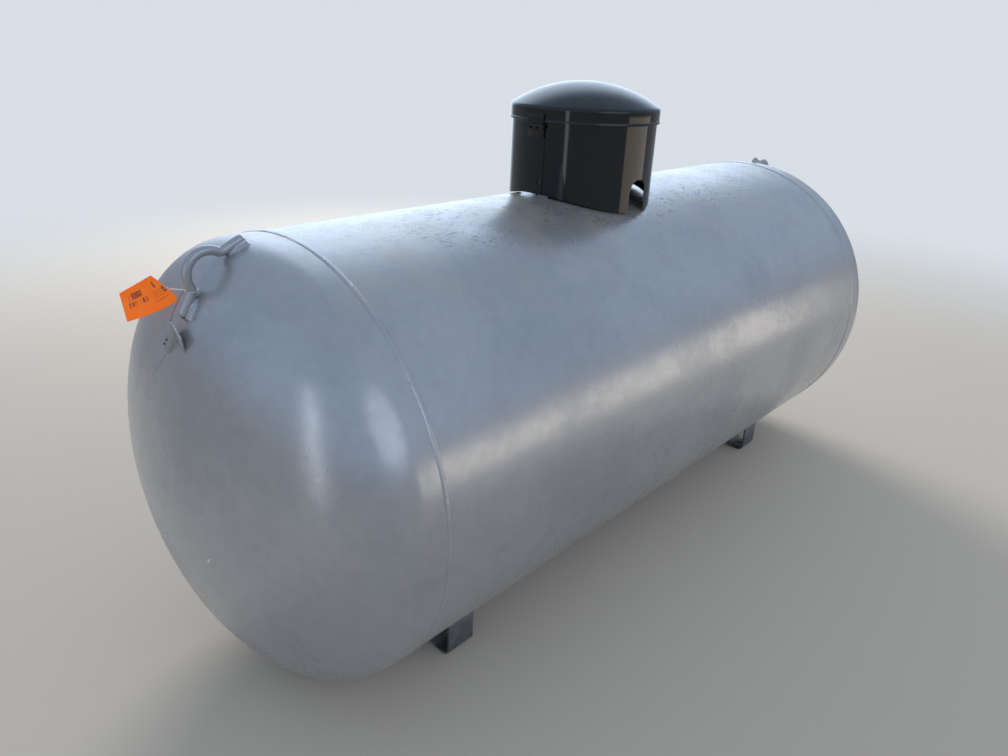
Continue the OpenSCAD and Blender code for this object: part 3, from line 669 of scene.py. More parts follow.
def silverPaint(name, look, marks=None):
    paint, tree, shader, place = newPaint(name, look["metallic"], look["roughness"])
    height = splitVector(tree, place)["Z"]
    patches = maths(tree, "MULTIPLY", patchMask(tree, place, *look["patches"]), 1 - look["mottleShare"])
    thin = addShare(tree, patches, patchMask(tree, place, *look["mottle"]), look["mottleShare"])
    dust = dustMask(tree, place, *look["dust"])
    specks = crestSpecks(tree, place, height, look)
    color = blendColors(tree, thin, look["color"], look["thinColor"])
    color = blendColors(tree, dust, color, look["dustColor"])
    color = blendColors(tree, specks, color, look["speckColor"])
    # Darker towards the ground: grime and painted shade
    if look["grime"]:
        low = ramp(tree, height, *look["grimeAndShadeHeights"], look["grime"] * look["grimeAndShadeTop"], look["grime"])
        ragged = patchMask(tree, place, *look["grimeAndShadePatches"])
        ragged = addShare(tree, look["grimeAndShadeBase"], ragged, 1 - look["grimeAndShadeBase"])
        color = blendColors(tree, product(tree, low, ragged), color, look["grimeAndShadeColor"])
    if marks:
        # Darkens a thin line that trails down from the bracket
        color = blendColors(tree, darkLineMask(tree, place, marks), color, look["darkLineColor"])
        color = blendColors(tree, scratchMask(tree, place, marks), color, look["bareColor"])
    rough = addShare(tree, look["roughness"] - look["thinRoughness"] / 2, thin, look["thinRoughness"])
    rough = addShare(tree, rough, dust, look["dustRoughness"])
    metal = addShare(tree, look["metallic"], maths(tree, "MAXIMUM", dust, specks), look["dirtMetallic"])
    raised = addShare(tree, peelHeight(tree, place, *look["peel"]), specks, look["speckHeight"])
    wire(tree, shader, Base_Color=color, Roughness=rough, Metallic=metal, Normal=bump(tree, raised))
    return paint


# Gloss black coat of the hood
black = {
    "color": (0.006, 0.0065, 0.0075, 1),
    "dustColor": (0.16, 0.15, 0.13, 1),
    "roughness": 0.20,
    "coat": 0.85,
    "coatRoughness": 0.075,
    "dust": (30.0, 0.10),
    "specks": (220.0, 0.13),
    "speckShare": 0.35,
    "filmRoughness": 0.5,
    "peel": (300.0, 0.00003, 14.0, 0.0010),
}


def glossBlack(name, look):
    paint, tree, shader, place = newPaint(
        name, 0.0, look["roughness"], look["coat"], look["coatRoughness"])
    shader.inputs["Specular IOR Level"].default_value = 0.0
    dust = dustMask(tree, place, *look["dust"])
    film = addShare(tree, dust, speckMask(tree, place, *look["specks"]), look["speckShare"], clamp=True)
    wire(tree, shader,
         Base_Color=blendColors(tree, film, look["color"], look["dustColor"]),
         Roughness=addShare(tree, look["roughness"], film, look["filmRoughness"]),
         Coat_Weight=maths(tree, "SUBTRACT", look["coat"], film),
         Normal=bump(tree, peelHeight(tree, place, *look["peel"])))
    return paint


# Bare metals, rubber, fibre and wire. Each has a bright and a dull color, metallic,
# roughness, the scale of its patches, and the scale and depth of its grain.
plainLooks = {
    "valve_brass": ((0.62, 0.44, 0.19), (0.30, 0.20, 0.09), 1.0, 0.28, 45.0, 700.0, 0.00004),
    "cap_rubber": ((0.018, 0.018, 0.018), (0.035, 0.034, 0.032), 0.0, 0.55, 40.0, 900.0, 0.00006),
    "plain_steel": ((0.46, 0.46, 0.45), (0.24, 0.22, 0.20), 0.9, 0.36, 60.0, 600.0, 0.00005),
    "dial_face": ((0.72, 0.70, 0.64), (0.60, 0.58, 0.52), 0.0, 0.35, 60.0, 900.0, 0.00002),
    "dial_ink": ((0.03, 0.03, 0.03), (0.06, 0.05, 0.05), 0.0, 0.5, 60.0, 900.0, 0.00002),
    "tie_wire": ((0.90, 0.89, 0.88), (0.68, 0.62, 0.58), 0.6, 0.30, 220.0, 900.0, 0.00003),
    "ring_fibre": ((0.16, 0.085, 0.07), (0.10, 0.055, 0.05), 0.0, 0.6, 300.0, 900.0, 0.00006),
    # Dark plugs in the bracket's holes: their colour is painted shade inside the holes
    "dark_rivet": ((0.035, 0.032, 0.032), (0.06, 0.035, 0.025), 0.5, 0.5, 300.0, 900.0, 0.00004),
    "rusty_wire": ((0.28, 0.10, 0.07), (0.14, 0.05, 0.04), 0.4, 0.5, 220.0, 900.0, 0.00003),
}


def plainFinish(name, bright, dull, metallic, roughness, patchScale, grainScale, grainDepth):
    paint, tree, shader, place = newPaint(name, metallic, roughness)
    patches = patchMask(tree, place, patchScale, 0.35, 0.7)
    peel = peelHeight(tree, place, grainScale, grainDepth, patchScale, 0.0002)
    wire(tree, shader,
         Base_Color=blendColors(tree, patches, (*bright, 1), (*dull, 1)),
         Roughness=addShare(tree, roughness, patches, 0.2),
         Normal=bump(tree, peel))
    return paint


# Orange card with plain ruled lines and blocks of bars, placed by the card's own UV map.
# A block of bars is left, right, low, high and count; a rule is left, right, low and high.
cardLook = {
    "color": (0.95, 0.17, 0.015, 1),
    "fadedColor": (0.93, 0.21, 0.03, 1),
    "inkColor": (0.16, 0.05, 0.04, 1),
    "glow": 0.30,
    "roughness": 0.7,
    "specular": 0.2,
    "bars": [
        (0.12, 0.42, 0.60, 0.80, 9), (0.10, 0.50, 0.38, 0.54, 34), (0.60, 0.74, 0.64, 0.84, 6)],
    "barShare": 0.45,
    "rules": [
        (0.54, 0.86, 0.26, 0.28), (0.58, 0.84, 0.37, 0.385),
        (0.58, 0.84, 0.46, 0.475), (0.58, 0.84, 0.54, 0.555)],
    "inkWear": (300.0, 0.30, 0.5),
    "inkShare": 0.85,
    "faded": (25.0, 0.35, 0.7),
    "peel": (900.0, 0.00006, 60.0, 0.0004),
}


def boxMask(tree, across, up, left, right, low, high):
    return product(
        tree, maths(tree, "GREATER_THAN", across, left), maths(tree, "LESS_THAN", across, right),
        maths(tree, "GREATER_THAN", up, low), maths(tree, "LESS_THAN", up, high))


def orangeCard(name, look):
    paint, tree, shader, place = newPaint(name, 0.0, look["roughness"])
    shader.inputs["Specular IOR Level"].default_value = look["specular"]
    # The card's faint glow is painted light, standing for sun shining through the card
    shader.inputs["Emission Strength"].default_value = look["glow"]
    split = splitVector(tree, put(tree, "ShaderNodeTexCoord").outputs["UV"])
    across, up = split["X"], split["Y"]
    marks = [boxMask(tree, across, up, *rule) for rule in look["rules"]]
    for left, right, low, high, count in look["bars"]:
        column = maths(tree, "FLOOR", maths(tree, "MULTIPLY", across, count / (right - left)))
        pick = put(tree, "ShaderNodeTexWhiteNoise", {"W": column}, noise_dimensions="1D").outputs["Value"]
        drawn = maths(tree, "GREATER_THAN", pick, look["barShare"])
        marks.append(product(tree, boxMask(tree, across, up, left, right, low, high), drawn))
    ink = marks[0]
    for mark in marks[1:]:
        ink = maths(tree, "MAXIMUM", ink, mark)
    ink = product(tree, ink, patchMask(tree, place, *look["inkWear"]), look["inkShare"])
    faded = patchMask(tree, place, *look["faded"])
    color = blendColors(tree, faded, look["color"], look["fadedColor"])
    color = blendColors(tree, ink, color, look["inkColor"])
    peel = bump(tree, peelHeight(tree, place, *look["peel"]))
    wire(tree, shader, Base_Color=color, Emission_Color=color, Normal=peel)
    return paint


def camelName(label):
    first, *others = label.split("_")
    return first + "".join(word.title() for word in others)


finishes = {
    "silver_paint": silverPaint("silverPaint", silver),
    "head_paint": silverPaint("nearHeadPaint", silver, headMarks),
    "foot_paint": silverPaint("footPaint", footPaint),
    "painted_highlight": silverPaint("paintedHighlight", paintedHighlight),
    "black_paint": glossBlack("glossBlack", black),
    "orange_card": orangeCard("orangeCard", cardLook),
}
for label, look in plainLooks.items():
    finishes[label] = plainFinish(camelName(label), *look)
for node, slot in slotOf.items():
    nodes[node].data.materials.clear()
    nodes[node].data.materials.append(finishes[slot])
print("stage: finishes")

# Tank: shell, spun heads and welds
shellLow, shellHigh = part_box("shell")
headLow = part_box("head_near")[0]
tank = {
    "radius": 0.475,
    "axisHeight": (shellLow[2] + shellHigh[2]) / 2,
    "halfLength": (shellHigh[0] - shellLow[0]) / 2,
    "flange": 0.046,
    "shellPlate": 0.006,
    "headPlate": 0.0065,
    "roundSteps": 256,
    "headSteps": 192,
    "dishSteps": 36,
}
tank["dishDepth"] = shellLow[0] - headLow[0] - tank["flange"]
tank["crest"] = tank["axisHeight"] + tank["radius"]
weldBead = {
    "width": 0.012,
    "height": 0.0016,
    "sink": 0.0008,
    "pitch": 0.0052,
    "ripple": 0.0005,
    "perRipple": 4,
    "bow": 0.3,
    "drift": ((0.4, 37, 0), (0.3, 91, 2)),
    "sectors": 14,
    "arcSteps": 8,
    "crossCuts": 10,
    "seamBearing": 25,
}


def makeShell(spec):
    shell = addCylinder(
        spec["radius"], 2 * spec["halfLength"], (0, 0, spec["axisHeight"]), (0, math.pi / 2, 0),
        spec["roundSteps"], "NOTHING")
    shell.name = "rolledShell"
    shape(shell, "SOLIDIFY", thickness=spec["shellPlate"], offset=-1)
    smooth(shell)
    deliver(shell, "silver_paint", "shell")


def makeHead(name, node, side, spec, finish):
    radius, flange = spec["radius"], spec["flange"]
    outline = [(radius, 0.0), (radius, flange)]
    for i in range(1, spec["dishSteps"] + 1):
        a = math.pi / 2 * i / spec["dishSteps"]
        outline.append((radius * math.cos(a), flange + spec["dishDepth"] * math.sin(a)))
    head = turnedPiece(
        name, outline, place=(side * spec["halfLength"], 0, spec["axisHeight"]),
        turn=(0, side * math.pi / 2, 0), steps=spec["headSteps"], wall=spec["headPlate"])
    smooth(head)
    deliver(head, finish, node, slot="silver_paint")


# Weld ripples: each vertex that stands above the plate moves by where it lies along the bead
def rippleBead(piece, bead, measure):
    for vertex in piece.data.vertices:
        along, across, lift, outward = measure(vertex.co)
        if lift < bead["height"] * 0.1:
            continue
        bow = bead["bow"] * (1 - min(1, abs(across) / (bead["width"] / 2)) ** 2)
        wave = 0.5 + 0.5 * math.cos(2 * math.pi * (along / bead["pitch"] + bow))
        drift = sum(size * math.sin(along * rate + start) for size, rate, start in bead["drift"])
        vertex.co += outward * bead["ripple"] * (wave + drift - 0.5) * lift / bead["height"]
    smooth(piece, 50)


def girthWeld(name, node, side, spec, bead):
    radius, half, sectors = spec["radius"], bead["width"] / 2, bead["sectors"]
    rings = round(2 * math.pi * radius / bead["pitch"] / sectors) * bead["perRipple"]
    outline = [(radius - bead["sink"], -half)]
    for i in range(1, bead["arcSteps"]):
        a = math.pi * i / bead["arcSteps"]
        outline.append((radius + bead["height"] * math.sin(a), -half * math.cos(a)))
    outline += [(radius - bead["sink"], half), outline[0]]
    weld = turnedPiece(name, outline, steps=rings, sweep=360 / sectors)
    clearSelection()
    bpy.ops.object.empty_add(rotation=(0, 0, 2 * math.pi / sectors))
    step = bpy.context.object
    shape(weld, "ARRAY", count=sectors, use_relative_offset=False, use_object_offset=True,
          offset_object=step, use_merge_vertices=True, use_merge_vertices_cap=True)
    throwAway(step)
    weld.location = (side * spec["halfLength"], 0, spec["axisHeight"])
    weld.rotation_euler = (0, math.pi / 2, 0)
    settle(weld)
    tidyMesh(weld)

    def measure(co):
        spoke = Vector((0, co.y, co.z - spec["axisHeight"]))
        along = math.atan2(spoke.y, spoke.z) * radius
        return along, co.x - side * spec["halfLength"], spoke.length - radius, spoke.normalized()

    rippleBead(weld, bead, measure)
    deliver(weld, "silver_paint", node)


def seamWeld(spec, bead):
    bearing = math.radians(bead["seamBearing"])
    outward = Vector((0, math.cos(bearing), -math.sin(bearing)))
    axis = Vector((0, 0, spec["axisHeight"]))
    length = 2 * spec["halfLength"] - bead["width"]
    cuts = round(length / bead["pitch"]) * bead["perRipple"]
    weld = addGrid("longSeamBead", cuts, bead["crossCuts"], (length, bead["width"]))
    for vertex in weld.data.vertices:
        across = min(1, abs(vertex.co.y) / (bead["width"] / 2))
        vertex.co.z = (bead["height"] + bead["sink"]) * math.sqrt(1 - across ** 2)
    weld.rotation_euler = (-bearing - math.pi / 2, 0, 0)
    weld.location = outward * (spec["radius"] - bead["sink"]) + axis
    settle(weld)

    def measure(co):
        across = Vector((0, outward.z, -outward.y)).dot(co - axis)
        return co.x, across, (co - axis).dot(outward) - spec["radius"], outward

    rippleBead(weld, bead, measure)
    deliver(weld, "silver_paint", "seam_weld")


makeShell(tank)
makeHead("nearHead", "head_near", -1, tank, "head_paint")
makeHead("farHead", "head_far", 1, tank, "silver_paint")
girthWeld("nearGirthWeld", "girth_weld_near", -1, tank, weldBead)
girthWeld("farGirthWeld", "girth_weld_far", 1, tank, weldBead)
seamWeld(tank, weldBead)
print("stage: tank")

# Feet, lugs, bracket and tabs keep the frame's shapes, with rounded edges
feet = ("foot_near_front", "foot_near_back", "foot_far_front", "foot_far_back")
for name in feet:
    dressNode(name, "foot_paint", bevel=0.0010)
for name in ("lifting_lug_near", "lifting_lug_far"):
    dressNode(name, bevel=0.0012, angle=50, rounds=1, subdivide=1)
dressNode("hood_tabs")
dressNode("couplings", bevel=0.0006)

fillet = {
    "radius": 0.0042,
    "spacing": 0.0011,
    "pitch": 0.0046,
    "ripple": 0.16,
    "uneven": 0.08,
}


def filletBead(name, points, spec, closed=False, size=1.0):
    line = resample(points, spec["spacing"])
    if closed:
        line.pop()
    perRipple = spec["pitch"] / spec["spacing"]
    uneven = [random.uniform(-spec["uneven"], spec["uneven"]) for point in line]

    def swell(i):
        return size * (1 + spec["ripple"] * math.cos(2 * math.pi * i / perRipple) + uneven[i])

    deliver(bentBar(name, line, spec["radius"], swell, closed), "silver_paint")


lugWeld = {
    "barRadius": 0.0095,
    "loopRadius": 0.042,
    "bendRadius": 0.014,
    "tail": 0.042,
    "lift": 0.002,
    "at": 26.5,
    "spread": 14,
    "gap": 0.0003,
    "leg": 0.0095,
    "start": 0.001,
    "rise": 0.020,
    "riseFrom": 0.03,
    "risePower": 0.7,
    "hold": (-75, 63),
    "hollow": 0.0016,
    "ripple": 0.00028,
    "pitch": 0.0050,
    "bow": 0.35,
    "uneven": ((0.0007, 310), (0.0005, 830)),
    "barShare": 0.985,
    "sink": 0.0004,
    "cuts": (150, 9),
}


# The head's outline in the lug's plane: distance along the tank, height over the axis
def dishPoint(angle, spec):
    a = math.radians(angle)
    reach = spec["halfLength"] + spec["flange"] + spec["dishDepth"] * math.sin(a)
    return Vector((reach, spec["radius"] * math.cos(a)))


def dishDirections(angle, spec):
    a = math.radians(angle)
    tangent = Vector((spec["dishDepth"] * math.cos(a), -spec["radius"] * math.sin(a))).normalized()
    return tangent, Vector((-tangent.y, tangent.x))


# The nearest point of the head under a point, going in along a given normal
def dropOnHead(point, normal, spec):
    center = Vector((spec["halfLength"] + spec["flange"], 0, 0))
    deep, wide = spec["dishDepth"] ** 2, spec["radius"] ** 2
    for i in range(8):
        off = point - center
        level = off.x ** 2 / deep + (off.y ** 2 + off.z ** 2) / wide - 1
        slope = 2 * (off.x * normal.x / deep + (off.y * normal.y + off.z * normal.z) / wide)
        point = point - normal * (level / slope)
    return point


# Start of a tail and its two directions, from the lug's own bends
def tailLine(turn, weld, spec):
    center = dishPoint(weld["at"], spec) + weld["lift"] * dishDirections(weld["at"], spec)[1]
    at = weld["at"] + turn * weld["spread"]
    tangent, normal = dishDirections(at, spec)
    run = turn * tangent
    base = dishPoint(at, spec) + (weld["barRadius"] + weld["gap"]) * normal
    off = base + weld["bendRadius"] * normal - center
    along = off.dot(run)
    reach = weld["loopRadius"] + weld["bendRadius"]
    bend = center + off + run * (-along + math.sqrt(along ** 2 - off.dot(off) + reach ** 2))
    start = bend - weld["bendRadius"] * normal
    return [Vector((flat.x, 0, flat.y)) for flat in (start, run, normal)]


# A hollow fillet down one side of a tail, round its end and back up the other side
def weldLug(name, side, spec, weld):
    across = Vector((0, 1, 0))
    radius = weld["barRadius"]
    straight = weld["tail"] - weld["start"]
    bendLength = math.pi * radius
    total = 2 * straight + bendLength
    for part, turn in (("Lower", 1), ("Upper", -1)):
        start, run, normal = tailLine(turn, weld, spec)

        def place(u, v):
            s = u * total
            turned = math.pi * min(1, max(0, (s - straight) / bendLength))
            end = math.sin(turned)
            middle = start + run * (weld["start"] + min(s, straight, total - s))
            way = across * math.cos(turned) + run * end
            fade = min(1, weld["riseFrom"] + min(s, total - s) / weld["rise"]) ** weld["risePower"]
            hold = math.radians(weld["hold"][0] + weld["hold"][1] * fade)
            wave = math.cos(2 * math.pi * (s / weld["pitch"] + weld["bow"] * (2 * v - 1) ** 2))
            (broad, slow), (narrow, fast) = weld["uneven"]
            uneven = broad * math.sin(s * slow + turn) + narrow * math.sin(s * fast)
            outward = way * math.cos(hold) * (1 - end) + normal * math.sin(hold)
            bar = middle + weld["barShare"] * radius * outward
            leg = radius * (1 - end) + weld["leg"] * fade + uneven
            toe = dropOnHead(middle + way * leg, normal, spec)
            ridge = (weld["ripple"] * wave - weld["hollow"]) * math.sin(math.pi * v) * fade
            point = bar.lerp(toe - normal * weld["sink"], v) + (normal + way).normalized() * ridge
            return Vector((side * point.x, point.y, spec["axisHeight"] + point.z))

        deliver(gridSurface(name + part, *weld["cuts"], place), "silver_paint")


weldLug("nearLugWeld", -1, tank, lugWeld)
weldLug("farLugWeld", 1, tank, lugWeld)

bracket = {
    "plateTop": 0.35,
    "rivets": [(-1.17281, 0.02575, 0.81303), (-1.16949, 0.02278, 0.82131)],
    "holeFacing": (-0.548, -0.833, -0.08),
    "plugRadius": 0.0020,
    "plugCrown": (0.0005, 0.0004),
    "plugLength": 0.0024,
    "plateHalf": 0.00125,
    "weldFrom": (-1.1545, 0.0200, 0.8290),
    "weldTo": (-1.1655, 0.0330, 0.8020),
    "weldNormal": (0.7, 0, 0.7),
    "weldSteps": 7,
}


def makeBracket(spec):
    plate = dressNode("tag_bracket")
    # Faces that look up get the pale paint, a painted highlight on the bracket's top edges
    plate.data.materials.append(finishes["painted_highlight"])
    for face in plate.data.polygons:
        if face.normal.z > spec["plateTop"]:
            face.material_index = 1
    # Dark plugs fill the bracket's two holes; their dark colour is painted shade inside the holes
    facing = Vector(spec["holeFacing"]).normalized()
    turn = facing.to_track_quat("Z", "Y").to_euler()
    radius, length = spec["plugRadius"], spec["plugLength"]
    crown, shoulder = spec["plugCrown"]
    outline = [(0, crown), (radius * 0.6, shoulder), (radius, 0.0), (radius, -length), (0, -length)]
    for i, center in enumerate(spec["rivets"]):
        place = Vector(center) + facing * spec["plateHalf"]
        shadePlug = turnedPiece("bracketHoleShade" + str(i + 1), outline, place=place, turn=turn, steps=24)
        smooth(shadePlug, 40)
        deliver(shadePlug, "dark_rivet", slot="plain_steel")
    start, end = Vector(spec["weldFrom"]), Vector(spec["weldTo"])
    points = []
    for i in range(spec["weldSteps"] + 1):
        spot = start.lerp(end, i / spec["weldSteps"])
        local = Vector((-spot.x, spot.y, spot.z - tank["axisHeight"]))
        local = dropOnHead(local, Vector(spec["weldNormal"]), tank)
        points.append((-local.x, local.y, local.z + tank["axisHeight"]))
    bead = dict(fillet, pitch=0.0032, spacing=0.0006, ripple=0.3)
    filletBead("bracketWeld", points, bead, size=0.75)


makeBracket(bracket)


def tankHeight(y):
    return tank["axisHeight"] + math.sqrt(tank["radius"] ** 2 - y * y)


def weldFoot(name):
    low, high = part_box(name)
    side = 1 if low[1] > 0 else -1
    outer = max(abs(low[1]), abs(high[1])) - 0.0005
    inner = min(abs(low[1]), abs(high[1])) + 0.0005
    for label, y in (("Outer", outer), ("Inner", inner)):
        z = 2 * tank["axisHeight"] - tankHeight(y)
        points = [(low[0], side * y, z), (high[0], side * y, z)]
        filletBead(name + "Weld" + label, points, fillet)


for name in feet:
    weldFoot(name)

# Each coupling's place from the hood's axis, and its width
couplings = {
    "fill": (-0.095, -0.040, 0.064),
    "relief": (0.070, 0.070, 0.064),
    "gauge": (0.0, 0.0, 0.064),
    "service": (0.035, -0.100, 0.044),
    "vapour": (-0.050, 0.085, 0.044),
    "liquid": (0.115, -0.020, 0.044),
}
hoodLow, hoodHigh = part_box("hood_body")
hoodX = (hoodLow[0] + hoodHigh[0]) / 2
for name, (x, y, width) in couplings.items():
    ring = arcPoints((hoodX + x, y), width / 2, 0, 360, 40)
    points = [(ringX, ringY, tankHeight(ringY)) for ringX, ringY in ring]
    filletBead(name + "CouplingWeld", points, fillet, closed=True, size=0.8)
print("stage: feet, lugs and welds")

# Hood body: rolled sheet, cut to the tank, with two notches, a lap seam and a fixing hole
hood = {
    "centerX": hoodX,
    "radius": (hoodHigh[1] - hoodLow[1]) / 2,
    "top": hoodHigh[2],
    "sheet": 0.002,
    "base": 0.93,
    "saddleGap": 0.006,
    "saddleSteps": 720,
    "notchRadius": 0.033,
    "notchTop": tank["crest"] + 0.050,
    "notchDrop": 0.1,
    "cutDepth": 0.6,
    "seamBearing": 188,
    "seamWidth": 0.0015,
    "seamHeight": 0.30,
    "lapWidth": 0.024,
    "holeRadius": 0.0045,
    "holeHeight": tank["crest"] + 0.036,
    "holeTurn": 4,
    "roundSteps": 256,
    "rings": 16,
    "edge": 0.00035,
}


def openTube(radius, spec):
    low, high = spec["base"], spec["top"]
    return addCylinder(
        radius, high - low, (spec["centerX"], 0, (low + high) / 2), sides=spec["roundSteps"], ends="NOTHING")


# A place on the hood's sheet and its bearing in radians
def hoodPlace(spec, bearing, height):
    a = math.radians(bearing)
    x, y = spec["radius"] * math.cos(a), spec["radius"] * math.sin(a)
    return (spec["centerX"] + x, y, height), a


# A round bar through the hood whose lower half is drawn down to an open slot
def notchCutter(spec):
    center = spec["notchTop"] - spec["notchRadius"]
    cutter = addCylinder(
        spec["notchRadius"], spec["cutDepth"], (spec["centerX"], 0, center), (math.pi / 2, 0, 0), 64)
    selectPoints(cutter, lambda co: co.z < center - 0.0001)
    bpy.ops.transform.translate(value=(0, 0, -spec["notchDrop"]))
    closeMesh()
    return cutter


def saddleCutter(spec):
    return addCylinder(
        tank["radius"] + spec["saddleGap"], spec["cutDepth"], (spec["centerX"], 0, tank["axisHeight"]),
        (0, math.pi / 2, 0), spec["saddleSteps"])


def holeCutter(spec):
    place, bearing = hoodPlace(spec, spec["seamBearing"] - spec["holeTurn"], spec["holeHeight"])
    return addCylinder(spec["holeRadius"], 0.05, place, (0, math.pi / 2, bearing))


def slotCutter(spec):
    place, bearing = hoodPlace(spec, spec["seamBearing"], spec["top"] - 0.12)
    return addBlock((2 * spec["sheet"], spec["seamWidth"], spec["seamHeight"]), place, bearing)


def lapStrip(spec):
    lap = openTube(spec["radius"] - spec["sheet"], spec)
    half = spec["lapWidth"] / 2 / spec["radius"]
    bearing = math.radians(spec["seamBearing"])

    def isOutside(co):
        angle = math.atan2(co.y, co.x - spec["centerX"])
        return abs((angle - bearing + math.pi) % (2 * math.pi) - math.pi) > half

    selectPoints(lap, isOutside)
    bpy.ops.mesh.delete(type="VERT")
    closeMesh()
    shape(lap, "SOLIDIFY", thickness=spec["sheet"], offset=-1)
    return lap


def makeHoodBody(spec):
    body = openTube(spec["radius"], spec)
    body.name = "hoodBody"
    for i in range(spec["rings"]):
        level = spec["base"] + (spec["top"] - spec["base"]) * (i + 1) / (spec["rings"] + 1)
        openMesh(body)
        bpy.ops.mesh.bisect(plane_co=(0, 0, level), plane_no=(0, 0, 1))
        closeMesh()
    shape(body, "SOLIDIFY", thickness=spec["sheet"], offset=-1)
    lap = lapStrip(spec)
    saddle, notch, hole, gap = saddleCutter(spec), notchCutter(spec), holeCutter(spec), slotCutter(spec)
    cutWith(body, saddle, notch, gap, hole)
    cutWith(lap, saddle, hole)
    throwAway(saddle, notch, hole, gap)
    joinInto(body, lap)
    roundEdges(body, spec["edge"], 2, 40)
    smooth(body, 30)
    shape(body, "WEIGHTED_NORMAL", keep_sharp=True, weight=90)
    deliver(body, "black_paint", "hood_body")


makeHoodBody(hood)

# Lid: vertical rim with a pressed bead, rounded shoulder and low crown
lidLow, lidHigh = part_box("hood_lid")
lid = {
    "radius": 0.194,
    "rim": 0.029,
    "shoulder": 0.012,
    "shoulderSteps": 10,
    "crownSteps": 44,
    "height": lidHigh[2] - lidLow[2],
    "beadHeight": 0.006,
    "beadOut": 0.0015,
    "beadRound": 0.0006,
    "sheet": 0.002,
    "steps": 256,
}


def makeLid(spec):
    radius, rim, shoulder = spec["radius"], spec["rim"], spec["shoulder"]
    run = radius - shoulder
    rise = spec["height"] - rim
    crown = (run ** 2 + rise ** 2 - shoulder ** 2) / (2 * (rise - shoulder))
    center = spec["height"] - crown
    edge = math.degrees(math.atan2(rim - center, run))
    outer, bead, soft = radius + spec["beadOut"], spec["beadHeight"], spec["beadRound"]
    outline = [(outer - soft, 0), (outer, soft), (outer, bead - soft), (outer - 0.0005, bead)]
    outline += [(radius, bead + 0.0009), (radius, rim * 0.6)]
    outline += arcPoints((run, rim), shoulder, 0, edge, spec["shoulderSteps"])
    outline += arcPoints((0, center), crown, edge, 90, spec["crownSteps"])[1:]
    cover = turnedPiece("hoodLid", outline, (hood["centerX"], 0, lidLow[2]), steps=spec["steps"],
                        wall=spec["sheet"])
    smooth(cover, 40)
    deliver(cover, "black_paint", "hood_lid", "lid")


makeLid(lid)
for name in ("hinge_leaf_body", "hinge_pin", "lock_ear_body"):
    dressNode(name, bevel=0.0005)
for name in ("hinge_leaf_lid", "lock_ear_lid"):
    dressNode(name, body="lid", bevel=0.0005)
print("stage: hood")

# Tag: a curled and twisted card with a pressed eyelet, tied on with wire
card = {
    "length": 0.121,
    "width": 0.060,
    "thickness": 0.0005,
    "clip": 0.0093,
    "cuts": (48, 24),
    "eyeletInset": 0.011,
    "eyeletHole": 0.003,
    "eyeletRing": 0.0062,
    "twist": 52.5,
    "curve": 8.0,
    "alongAxis": (0.359, -0.815, 0.456),
    "widthAxis": (-0.141, 0.435, 0.889),
    "eyelet": (-1.1565, 0.0360, 0.9105),
}


def pressedEyelet(spec, place):
    hole, ring, face = spec["eyeletHole"], spec["eyeletRing"], spec["thickness"] / 2
    half = [(hole, face), (hole + 0.0004, face + 0.0005), (ring - 0.0008, face + 0.0004), (ring, face)]
    outline = [(radius, -height) for radius, height in half] + half[::-1]
    return turnedPiece("eyelet", outline + outline[:1], place, steps=48)


def makeCard(spec):
    tag = addGrid("orangeTag", *spec["cuts"], (spec["length"], spec["width"]))
    end = spec["length"] / 2
    corner = spec["width"] / 2 - spec["clip"]
    for side in (-1, 1):
        openMesh(tag)
        bpy.ops.mesh.bisect(plane_co=(end, side * corner, 0), plane_no=(1, side, 0), clear_outer=True)
        closeMesh()
    shape(tag, "SOLIDIFY", thickness=spec["thickness"], offset=0)
    eye = (end - spec["eyeletInset"], 0, 0)
    punch = addCylinder(spec["eyeletHole"], 0.01, eye)
    cutWith(tag, punch)
    throwAway(punch)
    eyelet = pressedEyelet(spec, eye)
    tag.data.materials.append(finishes["orange_card"])
    eyelet.data.materials.append(finishes["ring_fibre"])
    joinInto(tag, eyelet)
    ringFaces = [face for face in tag.data.polygons if face.material_index == 1]
    ringPoints = sorted({i for face in ringFaces for i in face.vertices})
    shape(tag, "SIMPLE_DEFORM", deform_method="TWIST", deform_axis="X", angle=math.radians(spec["twist"]))
    for vertex in tag.data.vertices:  # the card curls along its length
        turned = spec["curve"] * vertex.co.x
        reach = 1 / spec["curve"] - vertex.co.z
        vertex.co.x = reach * math.sin(turned)
        vertex.co.z = 1 / spec["curve"] - reach * math.cos(turned)
    middle = sum((tag.data.vertices[i].co for i in ringPoints), Vector()) / len(ringPoints)
    along = Vector(spec["alongAxis"]).normalized()
    width = Vector(spec["widthAxis"])
    width = (width - width.dot(along) * along).normalized()
    turn = Matrix((along, width, along.cross(width))).transposed()
    tag.matrix_world = Matrix.Translation(Vector(spec["eyelet"]) - turn @ middle) @ turn.to_4x4()
    settle(tag)
    smooth(tag, 40)
    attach(tag, "tank")
    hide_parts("tag")


makeCard(card)

wires = {
    "radius": 0.0007,
    "tie": (-1.1240, 0.0, 0.9086),
    "barRadius": 0.0095,
    "gap": 0.0003,
    "steps": 40,
    "turns": 3.5,
    "twistFrom": 0.2,
    "helix": 0.0009,
    "eyeBulge": (0.0014, 0.12, 0.08),
    "wrapSteps": 14,
    "wrapTurn": 13,
    "wrapRise": 0.0008,
    "tailSteps": 21,
    "tailTurn": 0.75,
    "tailHelix": 0.0010,
    "tailRun": 0.0004,
    "tailFrom": 1.12,
    "tailLean": (0.5, -0.4, 0.8),
    "bow": (-0.0030, 0.0015, -0.0020),
    "bracketStart": (-1.1345, 0.0112, 0.9050),
    "bracketRadius": 0.0005,
    "startHook": [(0.0012, -0.0006, 0.0022), (0.0002, 0.0008, 0.0012)],
    "endHook": [(-0.0014, 0.0012, 0.0004), (-0.0024, 0.0010, 0.0030)],
}


